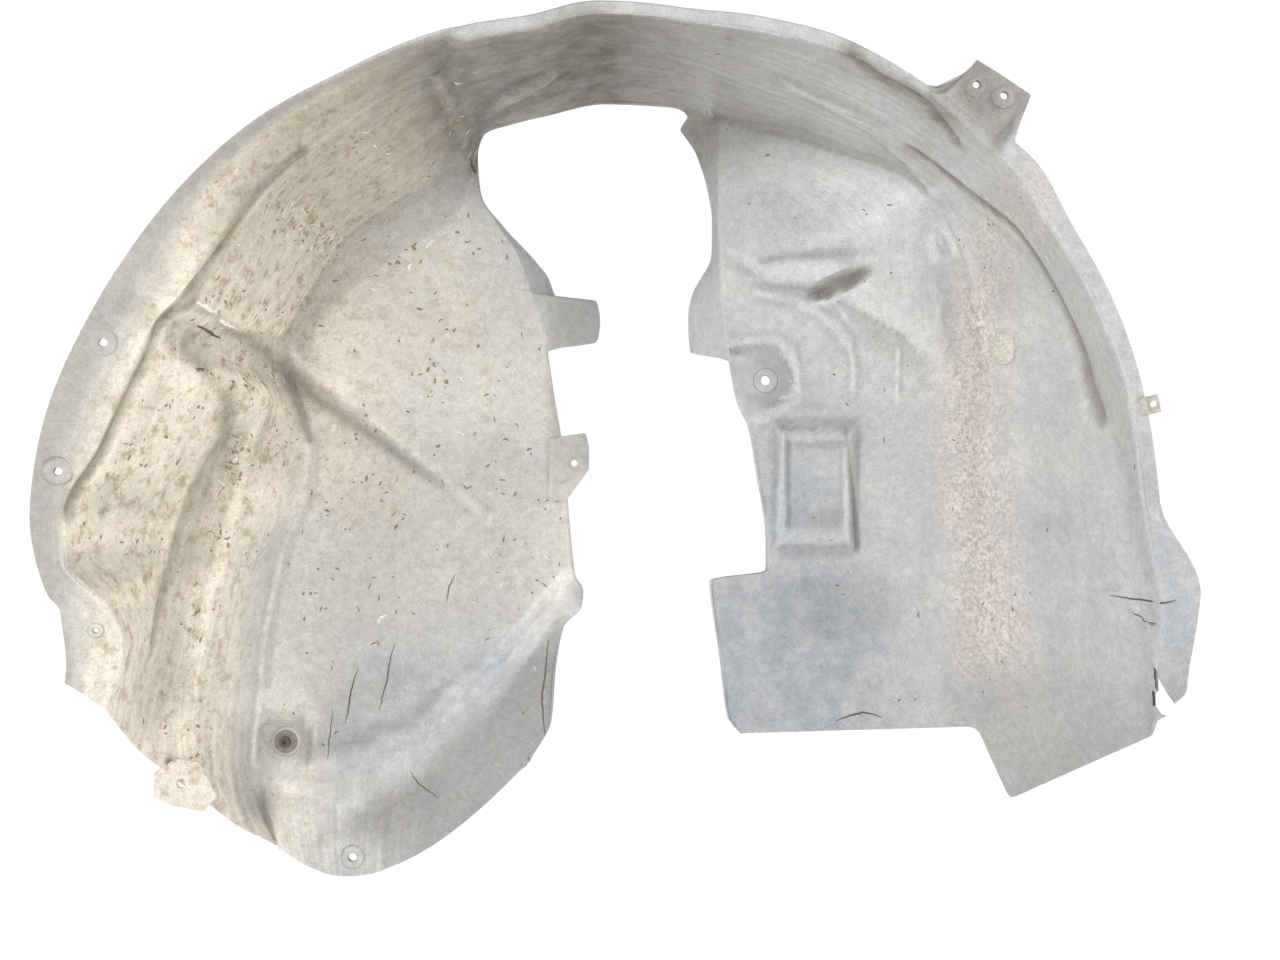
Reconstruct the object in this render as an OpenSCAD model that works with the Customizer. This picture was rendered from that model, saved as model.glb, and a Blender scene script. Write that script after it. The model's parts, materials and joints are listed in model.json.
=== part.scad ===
// Wheel arch liner: one moulded sheet that lines the wheel space of a car.
// Millimetres. The sheet is drawn about the centre of the arch, with +X along the car,
// +Y away from the wheel towards the middle of the car and +Z up.
// The finished part is then moved so that its datum, the main fixing hole, is the origin.

/* [Arch] */
// Radius of the arch that the crown follows
arch_r = 415; // [395:1:435]
// Depth of the liner from its outer edge to its inner walls
arch_d = 230; // [205:1:255]
// Thickness of the moulded sheet
wall_t = 2.5; // [1.8:0.1:3.2]

/* [Strut opening] */
// Edge of the left wall, left of the centre of the arch
open_left = 33; // [20:1:60]
// Edge of the right wall, right of the centre of the arch
open_right = 155; // [135:1:175]
// Edge of the lower right tab, right of the centre of the arch
open_tab = 101; // [80:1:120]
// Reach of the flag on the left return flange
flag_reach = 47; // [30:1:60]
// Reach of the foot on the right return flange
foot_reach = 34; // [20:1:45]
// Depth of the return flanges behind the walls
return_d = 45; // [30:1:60]
// Width of the plain turned edge round the opening
edge_turn = 6; // [5:0.5:9]

/* [Outer edge] */
// Height of the lug above the edge at the upper right
lug_h = 36; // [20:1:45]
// How far the lug stands forward of the edge
lug_forward = 12; // [6:1:18]
// Width of the lobe at the lower right
lobe_w = 33; // [15:1:40]

/* [Relief] */
// Depth of the groove along the left crown
groove_d = 9; // [0:1:14]
// Height of the bead beside that groove
bead_h = 9; // [0:1:14]
// Step between the upper and the lower left wall
shoulder_h = 18; // [8:1:25]
// Step of the lowest left panel towards the wheel
sill_h = 18; // [8:1:25]
// Height of the bulge on the upper right wall
bulge_h = 14; // [6:1:20]
// Height of the raised pad on the right wall
pad_h = 9; // [4:1:14]
// Depth of the pockets round the fixings
pocket_d = 6; // [3:0.5:9]
// Radius of those pockets
pocket_r = 26; // [22:1:30]
// Height of the welt across the crown
welt_h = 2.5; // [1:0.5:5]
// Height of the stand under the lower edge hole
stand_h = 8; // [4:1:12]

/* [Fixings] */
// Bore of the main fixing hole in the right wall
main_bore_d = 9.5; // [7:0.1:12]
// Bore of the two larger holes in the left edge flange
flange_bore_d = 6.5; // [5:0.1:8]
// Bore of the small locating hole in the left edge flange
locating_bore_d = 4; // [3:0.1:6]
// Bore of the two holes along the lower left edge
foot_bore_d = 8; // [6:0.1:10]
// Bore of the hole in the tab on the left opening edge
tab_bore_d = 6.5; // [5:0.1:8]
// Bore of the two holes in the lug
lug_bore_d = 6; // [4:0.1:8]
// Thickness of the bosses and of the small tabs
boss_t = 4; // [3.5:0.1:6]
// Width of the raised ring outside a bore
ring_w = 6; // [4:0.5:8]
// Gap between a fastener and the sheet
seat_gap = 0.3; // [0.2:0.05:0.4]
// Head diameter of the push rivet in the crown
rivet_head_d = 30; // [22:1:32]
// Shank diameter of the push rivet
rivet_shank_d = 8; // [6:0.5:10]
// Diameter of the grommet in the lower left pocket
grommet_d = 22; // [18:0.5:26]
// Thread diameter of the pocket screw
screw_d = 5; // [4:0.5:6]

/* [Hidden] */
$fn = 48;

plastic = "#c4c1b9";

// Feature lines. A station is the angle about the centre of the arch, anticlockwise from +X,
// and runs past the angle where the sheet ends in a slanted edge.
// Crown lines: station, angle, radius less the arch radius, depth in percent of the arch depth.
edge_line = [
    [-30, -17.6, 50, 1], [-22, -15, 22, 0], [-12, -11, 20, 0], [0, 0, 20, 0], [7, 7, 19, 0], [22, 22, 21, 0],
    [32, 32, 20, 0], [40, 40, 27, 0], [47, 47, 18, 0], [54, 54, 11, 0], [62, 62, 10, 0], [72, 72, 1, 0],
    [81, 81, -7, 0], [90, 90, -7, 0], [98, 98, -15, 0], [106, 106, -13, 0], [117, 117, -13, 0],
    [130, 130, -5, 0], [147, 147, 3, 0], [157, 157, 9, 0], [170, 170, 20, 1], [178, 178, 22, 1],
    [186, 186.5, 12, 2], [190, 188.4, 5, 3], [197, 192, 6, 3], [210, 196, 12, 3]];
root_line = [
    [-30, -18.8, 47, 8], [-22, -12.9, 33, 8], [-12, -8, 27, 3], [0, 0, 12, 2], [7, 7, 8, 2], [22, 22, 9, 2],
    [27, 27, 10, 3], [34, 34, 9, 4], [41, 41, 12, 4], [47, 47, 9, 4], [54, 54, 8, 3], [62, 62, 2, 3],
    [72, 72, -7, 3], [81, 81, -14, 3], [90, 90, -15, 3], [98, 98, -23, 3], [105, 105, -22, 4],
    [110, 110, -16, 30], [117, 117, -21, 28], [124, 124, -26, 26], [134, 134, -30, 21], [147, 147, -34, 12],
    [157, 157, -34, 7], [164, 164, -28, 6], [171, 171, -17, 5], [178, 178, 2, 4], [183, 183, 1, 4],
    [190, 188.6, -27, 6], [197, 192.4, -33, 8], [203, 195.6, -26, 9], [210, 200.3, -1, 13]];
groove_line = [
    [-30, -20.5, 56, 16], [-22, -13.9, 34, 14], [-12, -9, 27, 12], [0, 0, 13, 14], [7, 7, 10, 17],
    [17, 17, 10, 27], [25, 25, 10, 31], [32, 32, 10, 38], [41, 41, 8, 50], [54, 54, 7, 53], [62, 62, 1, 54],
    [72, 72, -6, 44], [80, 80, -10, 34], [90, 90, -11, 32], [98, 98, -19, 32], [106, 106, -20, 34],
    [110, 110, -24, 48], [124, 124, -36, 47], [138, 138, -42, 45], [151, 151, -48, 46], [156, 156, -66, 48],
    [160, 160, -86, 51], [166, 166, -80, 56], [172.5, 172.5, -65, 60], [179, 179, -55, 62], [184, 184, -44, 62],
    [190, 189.5, -33, 60], [197, 195, -20, 56], [203, 199, -5, 52], [210, 206, 14, 38]];
bead_line = [
    [-30, -34.3, 50, 95], [-22, -20.6, 12, 57], [-15, -13, -6, 57], [-6, -6, -20, 56], [7, 7, -27, 56],
    [17, 17, -23, 57], [25, 25, -15, 59], [32, 32, -5, 61], [39, 39, 1, 62], [46, 46, 6, 64], [54, 54, 5, 68],
    [62, 62, -1, 74], [72, 72, -9, 70], [80, 80, -11, 60], [90, 90, -13, 57], [98, 98, -20, 57],
    [106, 106, -22, 58], [110, 110, -33, 72], [124, 124, -49, 70], [138, 138, -52, 68], [151, 151, -50, 61],
    [156, 156, -73, 61], [160, 160, -95, 61], [166, 166, -94, 63], [172.5, 172.5, -94, 65], [179, 179, -88, 65],
    [184, 185, -78, 65], [190, 191, -63, 65], [197, 197, -46, 63], [203, 203, -24, 61], [207, 209, -4, 58],
    [210, 214.5, 15, 64]];
knuckle_line = [
    [-30, -28.8, -8, 100], [-22, -26, -18, 100], [-15, -19.4, -59, 99], [-6, -6, -82, 98], [7, 7, -81, 94],
    [17, 17, -68, 90], [25, 25, -49, 84], [32, 32, -29, 78], [39, 39, -9, 72], [46, 46, 4, 70], [51, 51, 5, 77],
    [56, 56, -1, 85], [63, 63, -3, 93], [70, 70, -12, 98], [74, 74, -14, 96], [78, 78, -13, 80], [90, 90, -14, 79],
    [98, 98, -21, 79], [106, 106, -24, 80], [109, 109, -38, 93], [112, 112, -56, 98], [120, 120, -66, 97],
    [134, 134, -62, 97], [144, 144, -57, 96], [150, 150, -60, 95], [156, 156, -89, 96], [160, 160, -109, 98],
    [166, 166, -124, 100], [175, 175, -128, 100], [184, 184.5, -107, 100], [190, 192, -90, 100],
    [197, 200, -66, 100], [203, 208, -39, 100], [207, 215.5, -3, 100], [210, 224.9, 28, 97]];
// Edge of the opening: station, x, z, depth in percent of the arch depth.
opening_line = [
    [-30, open_tab + 29, -203, 101], [-28, open_tab + 17, -188, 102], [-25, open_tab + 13, -160, 102],
    [-19, open_tab + 9, -127, 102], [-9.2, open_tab, -57, 102], [-7, open_right, -47, 101],
    [0, open_right, -18, 101], [14, open_right - 9, 45, 100], [28, open_right - 17, 91, 100],
    [32, open_right - 28, 115, 100], [38, open_right - 37, 165, 100], [46, open_right - 42, 207, 100],
    [56, open_right - 46, arch_r - 147, 100], [70, open_right - 47, arch_r - 65, 100],
    [74, open_right - 48, arch_r - 38, 100], [77, open_right - 60, arch_r - 26, 98], [81, 63, arch_r - 18, 98],
    [90, 0, arch_r - 15, 98], [98, -55, arch_r - 26, 98], [104, -95, arch_r - 36, 98],
    [107, -115, arch_r - 43, 99], [109, -122, arch_r - 63, 100], [112, -119, arch_r - 99, 100],
    [117, -102, arch_r - 130, 100],
    [124, -open_left - 50, 255, 100], [134, -open_left - 38, 220, 100], [144, -open_left - 25, 180, 100],
    [156, -open_left - 15, 118, 100], [166, -open_left - 6, 62, 100], [179, -open_left, -8, 100],
    [190, -open_left + 5, -52, 100], [193.5, -open_left + 13, -68, 100], [195, -open_left + 12, -80, 100],
    [197, -open_left - 5, -98, 100],
    [203, -open_left - 13, -140, 101], [207, -open_left - 17, -188, 101], [210, -open_left - 35, -222, 101]];
// Return flange behind that edge: station, then how far its own edge lies from it in x, z and y.
return_line = [
    [-30, 0, 0, edge_turn], [36.5, 0, 0, edge_turn], [38, -foot_reach, 2, return_d],
    [46, 3 - foot_reach, -3, return_d], [49, 8 - foot_reach, -2, return_d], [56, -4, -4, return_d],
    [61, -3, 0, return_d], [67, -8, 0, return_d], [72, -18, 0, return_d], [75, -30, 4, return_d],
    [77.5, -12, 3, return_d / 2], [81, 0, 0, edge_turn], [112, 0, 0, edge_turn], [117, 3, 1, return_d / 5],
    [122, 9, 2, return_d / 2], [129, 20, 2, return_d * 5 / 6], [133.5, 22, 0, return_d - 4], [134.5, flag_reach + 14, 0, return_d],
    [144.5, flag_reach + 2, 0, return_d],
    [147.5, 0, 0, edge_turn], [210, 0, 0, edge_turn]];
// Bow of the left wall's lower end: station, x, z.
bow_line = [[-30, 0, 0], [203, 0, 0], [207, -4, -24], [210, -12, -58]];
// Radius that rounds each line: station, root, groove, bead, knuckle, opening edge.
round_line = [
    [-30, 3, 6, 8, 10, 2], [-15, 4, 8, 14, 30, 2], [35, 4, 6, 14, 30, 2], [50, 4, 6, 10, 12, 2],
    [75, 3, 8, 10, 12, 2], [108, 4, 8, 12, 14, 2], [114, 8, 12, 16, 40, 2], [150, 8, 14, 10, 34, 2],
    [160, 8, 16, 8, 14, 2], [190, 5, 16, 10, 9, 2], [210, 6, 14, 10, 10, 2]];

// Stations, closer together where the outline turns.
STATIONS = [
    -30, -28.5, -26, -22, -19, -15.5, -12, -9.2, -7, -3.5, 0, 3.5, 7, 10.5, 14, 17.5, 21, 24.5, 28, 31, 34,
    36.5, 38, 41, 44, 46.5, 49, 51.5, 53, 55, 58, 61, 64, 67, 70, 72.5, 75, 77.5, 81, 85, 91, 96, 101,
    104.5, 107, 108.8, 110, 111.2, 114, 117, 120.5, 124, 127.5, 131, 133.5, 134.5, 138, 141, 144.5, 147.5,
    150.5, 153.5, 156.5, 160, 163, 166, 169.5, 174, 179, 183.5, 187, 190, 193.5, 195, 197, 200, 203,
    205, 207, 208.2, 209, 209.6, 210];
// Points between one rounded line and the next.
FILL = [1, 2, 2, 2, 11, 1];

function polar(a, r) = [r * cos(a), r * sin(a)];
function clamp01(v) = max(0, min(1, v));
function ease(a, b, v) = let (t = clamp01((v - a) / (b - a))) t * t * (3 - 2 * t);
function cell(keys, s, i = 0) = i >= len(keys) - 2 || s < keys[i + 1][0] ? i : cell(keys, s, i + 1);
function rise(keys, i, c) = (keys[i + 1][c] - keys[i][c]) / (keys[i + 1][0] - keys[i][0]);
function tangent(keys, i, c) =
    i == 0 ? rise(keys, 0, c)
    : i == len(keys) - 1 ? rise(keys, i - 1, c)
    : let (a = rise(keys, i - 1, c), b = rise(keys, i, c)) a * b <= 0 ? 0 : 2 * a * b / (a + b);
// Value of column c at station s on a smooth curve that never overshoots its keys.
function along(keys, s, c) =
    let (
        i = cell(keys, s),
        w = keys[i + 1][0] - keys[i][0],
        t = clamp01((s - keys[i][0]) / w),
        m0 = tangent(keys, i, c) * w,
        m1 = tangent(keys, i + 1, c) * w)
    keys[i][c] * (1 - t) * (1 - t) * (1 + 2 * t) + m0 * t * (1 - t) * (1 - t)
    + keys[i + 1][c] * t * t * (3 - 2 * t) - m1 * t * t * (1 - t);

// Lug and lobe: how far the outer edge stands out at a station.
function lug_at(s) = ease(43, 45, s) * ease(53, 51.5, s);
function lobe_at(s) = ease(3, -6, s) * ease(-30, -22, s);
function crown_point(keys, s, out = 0) =
    let (a = along(keys, s, 1), r = arch_r + along(keys, s, 2) + out)
    [r * cos(a), along(keys, s, 3) * arch_d / 100, r * sin(a)];
function opening_point(s) =
    [along(opening_line, s, 1), along(opening_line, s, 3) * arch_d / 100, along(opening_line, s, 2)];
function return_point(s) =
    opening_point(s) + [along(return_line, s, 1), along(return_line, s, 3), along(return_line, s, 2)];
// The groove stands back from the crown and the bead stands forward, both with a height of their own.
function groove_at(s) = ease(154, 166, s) * ease(212, 196, s);
function section(s) = [
    crown_point(edge_line, s, lug_h * lug_at(s) + lobe_w * lobe_at(s)),
    crown_point(root_line, s),
    crown_point(groove_line, s) + groove_at(s) * (groove_d - 9) * [-0.9, 0.4, 0],
    crown_point(bead_line, s) + groove_at(s) * (bead_h - 9) * [0.9, -0.4, 0],
    crown_point(knuckle_line, s),
    opening_point(s),
    return_point(s)];

function mix3(a, b, t) = a + (b - a) * t;
// Share of the way from a to b that a corner of the given radius takes up.
function nip(a, b, r) = min(0.4, r / max(norm(b - a), 0.01));
function corner(p, k, r) =
    let (a = mix3(p[k], p[k - 1], nip(p[k], p[k - 1], r)), b = mix3(p[k], p[k + 1], nip(p[k], p[k + 1], r)))
    [a, (a + 2 * p[k] + b) / 4, b];
function between(a, b, n) = [for (i = [1:n]) mix3(a, b, i / (n + 1))];
function bow_at(s) = [along(bow_line, s, 1), 0, along(bow_line, s, 2)];
function bowed(row, bow) = [
    for (i = [0:len(row) - 1]) let (t = (i + 1) / (len(row) + 1)) row[i] + 4 * t * (1 - t) * bow];
// All the points of one section, from the outer edge to the edge of the return flange.
function section_row(s) =
    let (
        p = section(s),
        c = [for (k = [1:5]) corner(p, k, along(round_line, s, k))],
        wall = bowed(between(c[3][2], c[4][0], FILL[4]), bow_at(s)))
    concat(
        [p[0]], between(p[0], c[0][0], FILL[0]), c[0], between(c[0][2], c[1][0], FILL[1]), c[1],
        between(c[1][2], c[2][0], FILL[2]), c[2], between(c[2][2], c[3][0], FILL[3]), c[3], wall,
        c[4], between(c[4][2], p[6], FILL[5]), [p[6]]);

// Relief, in millimetres towards the wheel, as a function of the place in the front view.
shoulder_a = [-320, 178];
shoulder_b = [-141, 30];
sill_edge = [[-330, -240], [-252, -234], [-180, -203], [-148, -168], [-104, -131], [-42, -57]];
bulge_edge = [[100, 268], [136, 242], [165, 224], [209, 216], [238, 197], [279, 174], [311, 142], [335, 100]];
pad_lo = [166, -22];
pad_hi = [238, 88];
main_hole = [154, 135];
pocket_hole = polar(214.6, arch_r - 43);
foot_hole = polar(233.1, arch_r - 23.5);
function shoulder(x, z) =
    let (
        d = shoulder_b - shoulder_a,
        l = norm(d),
        t = ([x, z] - shoulder_a) * d / (l * l),
        n = ([x, z] - shoulder_a) * [-d[1], d[0]] / l,
        w = 30 - 24 * clamp01(t))
    shoulder_h * (1 - clamp01(t)) * ease(-w, 0, n) * ease(130, 20, n) * ease(-0.25, 0.02, t);
function sill(x, z) = sill_h * ease(0, 26, lookup(x, sill_edge) - z) * ease(-338, -305, x);
function bulge(x, z) =
    bulge_h * ease(-9, 9, z - lookup(x, bulge_edge)) * ease(110, 20, z - lookup(x, bulge_edge))
    * ease(108, 150, x) * ease(345, 300, x);
function pad(x, z) =
    pad_h * ease(-5, 6, min(x - pad_lo[0], pad_hi[0] - x, z - pad_lo[1], pad_hi[1] - z));
function lug_face(x, z) =
    let (a = atan2(z, x), r = norm([x, z]) - arch_r)
    lug_forward * ease(43.5, 45.5, a) * ease(53, 51.8, a) * ease(9, 16, r);
function welt(s, j) = j > 2 && j < 19 ? welt_h * max(0, 1 - abs(s - 110) / 1.3) : 0;
function relief(x, z) =
    x < 0 ? shoulder(x, z) + sill(x, z) : bulge(x, z) + pad(x, z) + lug_face(x, z);

// Fixings with a flat floor of their own: centre in the front view, depth of the floor, and how
// much of the floor a place has. A pocket is round, and open towards the edge on its left.
main_floor = arch_d - 1;
pocket_floor = arch_d + pocket_d;
foot_floor = arch_d - sill_h - stand_h;
function in_pocket(x, z, c) =
    ease(pocket_r + 2, pocket_r - 3, x < c[0] ? abs(z - c[1]) : norm([x, z] - c));
function pocket_share(x, z) =
    in_pocket(x, z, pocket_hole) * ease(120, 60, norm([x, z] - pocket_hole));
function on_stand(x, z) = ease(34, 24, abs(x - foot_hole[0])) * ease(30, 16, z - foot_hole[1]);
// Grid points are drawn in round a fixing, so that its floor and its wall get points of their own.
gather_line = [[0, 0], [14, 0.62], [38, 0.85], [39, 1.1], [62, 1.4]];
gather_reach = 90;
function gathered_r(l) =
    l > gather_reach ? l
    : l > 62 ? 1.4 * pocket_r + (l - 62) / (gather_reach - 62) * (gather_reach - 1.4 * pocket_r)
    : pocket_r * lookup(l, gather_line);
function gathered(p, n, c) =
    let (d = [p[0], p[2]] - c, l = norm(d), m = l < 1 ? [0, 0] : d * (gathered_r(l) / l - 1))
    p + [m[0], -(n[0] * m[0] + n[2] * m[1]) / n[1], m[1]];
function floored(p, w, y) = [p[0], p[1] + (y - p[1]) * w, p[2]];
// First and last column of the walls, from the knuckle to the edge of the opening.
wall_from = 19;
wall_to = 30;
function drawn_in(p, n, j) =
    j <= wall_from || j > wall_to ? p
    : p[0] > 0 ? gathered(p, n, main_hole)
    : gathered(p, n, pocket_hole);
function with_floors(p, j) =
    j < wall_from || j > wall_to ? p
    : p[0] > 0 ? floored(p, in_pocket(p[0], p[2], main_hole), main_floor)
    : floored(floored(p, pocket_share(p[0], p[2]), pocket_floor), on_stand(p[0], p[2]), foot_floor);

function at(grid, i, j) =
    grid[max(0, min(len(grid) - 1, i))][max(0, min(len(grid[0]) - 1, j))];
// Unit normal of a grid, away from the wheel.
function normal_at(grid, i, j) =
    let (
        u = at(grid, i + 1, j) - at(grid, i - 1, j),
        v = at(grid, i, j + 1) - at(grid, i, j - 1),
        n = cross(v, u))
    n / max(norm(n), 1e-6);

straight = [0, 1, 0];
plain = [for (s = STATIONS) section_row(s)];
last_i = len(plain) - 1;
last_j = len(plain[0]) - 1;
front = [for (i = [0:last_i]) [for (j = [0:last_j])
    let (n = normal_at(plain, i, j), p = drawn_in(plain[i][j], n, j), way = j > wall_to ? straight : n)
    with_floors(p - way * (relief(p[0], p[2]) + welt(STATIONS[i], j)), j)]];
back = [for (i = [0:last_i]) [for (j = [0:last_j]) front[i][j] + normal_at(front, i, j) * wall_t]];

function id(i, j) = i * (last_j + 1) + j;
half = (last_i + 1) * (last_j + 1);
skin_faces = [for (i = [0:last_i - 1], j = [0:last_j - 1], k = [0:1])
    k == 0 ? [id(i, j), id(i, j + 1), id(i + 1, j + 1)] : [id(i, j), id(i + 1, j + 1), id(i + 1, j)]];
end_faces = [for (j = [0:last_j - 1], k = [0:1]) each [
    k == 0 ? [id(0, j), half + id(0, j), half + id(0, j + 1)] : [id(0, j), half + id(0, j + 1), id(0, j + 1)],
    k == 0 ? [id(last_i, j), id(last_i, j + 1), half + id(last_i, j + 1)]
    : [id(last_i, j), half + id(last_i, j + 1), half + id(last_i, j)]]];
side_faces = [for (i = [0:last_i - 1], k = [0:1]) each [
    k == 0 ? [id(i, 0), id(i + 1, 0), half + id(i + 1, 0)] : [id(i, 0), half + id(i + 1, 0), half + id(i, 0)],
    k == 0 ? [id(i, last_j), half + id(i, last_j), half + id(i + 1, last_j)]
    : [id(i, last_j), half + id(i + 1, last_j), id(i + 1, last_j)]]];

module sheet() {
    polyhedron(
        points = concat([for (row = front) each row], [for (row = back) each row]),
        faces = concat(
            skin_faces,
            [for (f = skin_faces) [half + f[0], half + f[2], half + f[1]]],
            end_faces,
            side_faces));
}

// Places on the front of the sheet: the tangent plane at the grid point nearest in the front view.
function nearest(x, z) =
    let (
        d = [for (i = [0:last_i]) [for (j = [0:last_j]) norm([front[i][j][0] - x, front[i][j][2] - z])]],
        m = min([for (row = d) min(row)]),
        i = [for (k = [0:last_i]) if (min(d[k]) == m) k][0],
        j = [for (k = [0:last_j]) if (d[i][k] == m) k][0])
    [front[i][j], normal_at(front, i, j)];
function on_plane(x, z, f) =
    [x, f[0][1] - (f[1][0] * (x - f[0][0]) + f[1][2] * (z - f[0][2])) / f[1][1], z];
function place(x, z) = let (f = nearest(x, z)) [on_plane(x, z, f), f[1]];
proud = 1; // how far a boss stands out of the sheet on the wheel side
function at_depth(c, y) = [[c[0], y, c[1]], straight];
main_at = at_depth(main_hole, main_floor);
flange_at = [for (a = [159, 173.6]) let (c = polar(a, arch_r + along(edge_line, a, 2) - 17)) place(c[0], c[1])];
locating_at = let (c = polar(191.2, arch_r - 17)) place(c[0], c[1]);
foot_at = at_depth(foot_hole, foot_floor);
pocket_at = at_depth(pocket_hole, pocket_floor);
corner_at = at_depth(polar(211.5, arch_r + 8), arch_d * 0.48);
tab_at = at_depth([-open_left + 4, 56], arch_d - 2);
rivet_at = let (c = polar(23.7, arch_r - 24)) place(c[0], c[1]);
lug_at_1 = let (c = polar(49.6, arch_r + lug_h - 3)) [place(c[0], c[1])[0], straight];
lug_at_2 = let (c = polar(46.9, arch_r + lug_h + 4)) [place(c[0], c[1])[0], straight];
foot_end = return_point(42);
return_at = let (o = opening_point(42)) [mix3(o, foot_end, 0.55), cross([0, 0, 1], foot_end - o) / norm(foot_end - o)];
clip_a = 12.9;
clip_at = let (c = polar(clip_a, arch_r + along(edge_line, clip_a, 2) - 4)) place(c[0], c[1]);

// Turns the z axis of its children to a place's normal, with its point as the origin.
module stand_on(at) {
    n = at[1];
    translate(at[0]) rotate([0, acos(n[2]), atan2(n[1], n[0])]) children();
}
module boss(at, d, w = ring_w) {
    stand_on(at) translate([0, 0, -proud]) cylinder(h = boss_t, d = d + 2 * w);
}
bore_l = 30;
spot_l = 12;
slot_back = 16;
module bore(at, d) {
    stand_on(at) cylinder(h = bore_l, d = d, center = true);
}
// Clears the sheet in front of a boss, so that a fastener seats flat on it.
module spot_face(at, d, w = ring_w) {
    stand_on(at) translate([0, 0, -proud - spot_l]) cylinder(h = spot_l, d = d + 2 * w);
}
// A small flat tab that crosses the sheet: its outline in the front view, its front at a depth.
module tab(outline, y) {
    translate([0, y + boss_t, 0]) rotate([90, 0, 0]) linear_extrude(height = boss_t) polygon(outline);
}
corner_tab = [[-384, -212], [-384, -233], [-368, -240], [-342, -245], [-330, -232], [-345, -203], [-365, -199]];
opening_tab = [for (q = [[-20, 80], [15, 85], [18, 72], [18, 50], [7, 35], [-4, 20], [-20, 20]])
    [q[0] - open_left, q[1]]];

// Slot that parts the lobe from the flap at the lower right, open at its lower end.
module lobe_slot() {
    translate([0, slot_back, 0]) rotate([90, 0, 0]) linear_extrude(height = bore_l + slot_back) polygon([
        polar(-13.6, arch_r + 28), polar(-13.4, arch_r + 33), polar(-15.5, arch_r + 45),
        polar(-17.2, arch_r + 41)]);
}

module liner_shell() {
    color(plastic) difference() {
        union() {
            sheet();
            boss(main_at, main_bore_d);
            for (at = flange_at) boss(at, flange_bore_d);
            boss(locating_at, locating_bore_d, ring_w / 2);
            boss(foot_at, foot_bore_d);
            boss(pocket_at, grommet_d - 8);
            boss(rivet_at, rivet_head_d - 2 * ring_w + 4);
            for (at = [lug_at_1, lug_at_2]) boss(at, lug_bore_d, ring_w / 2);
            tab(corner_tab, corner_at[0][1]);
            tab(opening_tab, tab_at[0][1]);
        }
        bore(main_at, main_bore_d);
        for (at = flange_at) bore(at, flange_bore_d);
        bore(locating_at, locating_bore_d);
        bore(foot_at, foot_bore_d);
        bore(corner_at, foot_bore_d);
        bore(tab_at, tab_bore_d);
        for (at = [lug_at_1, lug_at_2]) {
            bore(at, lug_bore_d);
            spot_face(at, lug_bore_d, ring_w / 2);
        }
        bore(return_at, lug_bore_d);
        bore(pocket_at, sleeve_d + 2 * seat_gap);
        bore(rivet_at, rivet_shank_d + 2 * seat_gap);
        spot_face(main_at, main_bore_d);
        spot_face(foot_at, foot_bore_d);
        spot_face(pocket_at, grommet_d - 8);
        spot_face(rivet_at, rivet_head_d - 2 * ring_w + 4);
        lobe_slot();
    }
}

// Push rivet in the crown: a low domed head with a sunk pin, and a shank through the sheet.
rivet_head_h = 4;
module crown_rivet() {
    color("#b9b7ae") stand_on(rivet_at) {
        rotate_extrude() polygon([
            [0, -proud - seat_gap - rivet_head_h + 1.2], [rivet_head_d * 0.2, -proud - seat_gap - rivet_head_h + 1.2],
            [rivet_head_d * 0.24, -proud - seat_gap - rivet_head_h], [rivet_head_d * 0.36, -proud - seat_gap - 3.2],
            [rivet_head_d * 0.47, -proud - seat_gap - 1.6], [rivet_head_d / 2, -proud - seat_gap],
            [0, -proud - seat_gap]]);
        translate([0, 0, -proud - seat_gap - 0.5]) cylinder(h = 15, d = rivet_shank_d);
    }
}

// Grommet in the lower left pocket: a flange on the wheel side and a sleeve through the sheet.
sleeve_d = grommet_d * 0.62;
module pocket_grommet() {
    color("#8f8a84") stand_on(pocket_at) translate([0, 0, -proud - seat_gap]) difference() {
        union() {
            translate([0, 0, -2]) cylinder(h = 2, d = grommet_d);
            translate([0, 0, -2]) cylinder(h = 12, d = sleeve_d);
        }
        translate([0, 0, -3]) cylinder(h = 14, d = screw_d + 2 * seat_gap);
    }
}
module pocket_screw() {
    color("#5f5a57") stand_on(pocket_at) translate([0, 0, -proud - 2 * seat_gap - 2]) difference() {
        union() {
            translate([0, 0, -3]) cylinder(h = 3, d = screw_d * 2.1);
            translate([0, 0, -1]) cylinder(h = 17, d = screw_d);
        }
        translate([0, 0, -4]) cylinder(h = 3, d = screw_d * 0.9, $fn = 6);
    }
}

// Spring nut pushed over the edge: two legs, a bend outside the edge and a round barrel behind.
clip_w = 14;
clip_t = 0.9;
clip_reach = 5;
module edge_spring_nut() {
    n = clip_at[1];
    out = [cos(clip_a), 0, sin(clip_a)];
    u = (out - n * (out * n)) / norm(out - n * (out * n));
    v = cross(n, u);
    edge_u = 4 / norm(out - n * (out * n)) + seat_gap;
    color("#a8a49c") multmatrix([
        [u[0], v[0], n[0], clip_at[0][0]], [u[1], v[1], n[1], clip_at[0][1]], [u[2], v[2], n[2], clip_at[0][2]],
        [0, 0, 0, 1]]) difference() {
        union() {
            translate([edge_u - clip_reach, -clip_w / 2, -seat_gap - clip_t])
                cube([clip_reach + clip_t, clip_w, clip_t]);
            translate([edge_u, -clip_w / 2, -seat_gap - clip_t])
                cube([clip_t, clip_w, wall_t + 2 * seat_gap + 2 * clip_t]);
            translate([edge_u - clip_reach, -clip_w / 2, wall_t + seat_gap])
                cube([clip_reach + clip_t, clip_w, clip_t]);
            translate([edge_u + clip_t + 4, 0, wall_t + seat_gap]) cylinder(h = 6, d = 9);
            translate([edge_u, -clip_w / 2, wall_t + seat_gap]) cube([9, clip_w, clip_t]);
        }
        translate([edge_u + clip_t + 4, 0, wall_t]) cylinder(h = 9, d = 5);
    }
}

datum = main_at[0];
module on_datum() {
    translate(-datum) children();
}

on_datum() liner_shell();
on_datum() crown_rivet();
on_datum() pocket_grommet();
on_datum() pocket_screw();
on_datum() edge_spring_nut();
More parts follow.
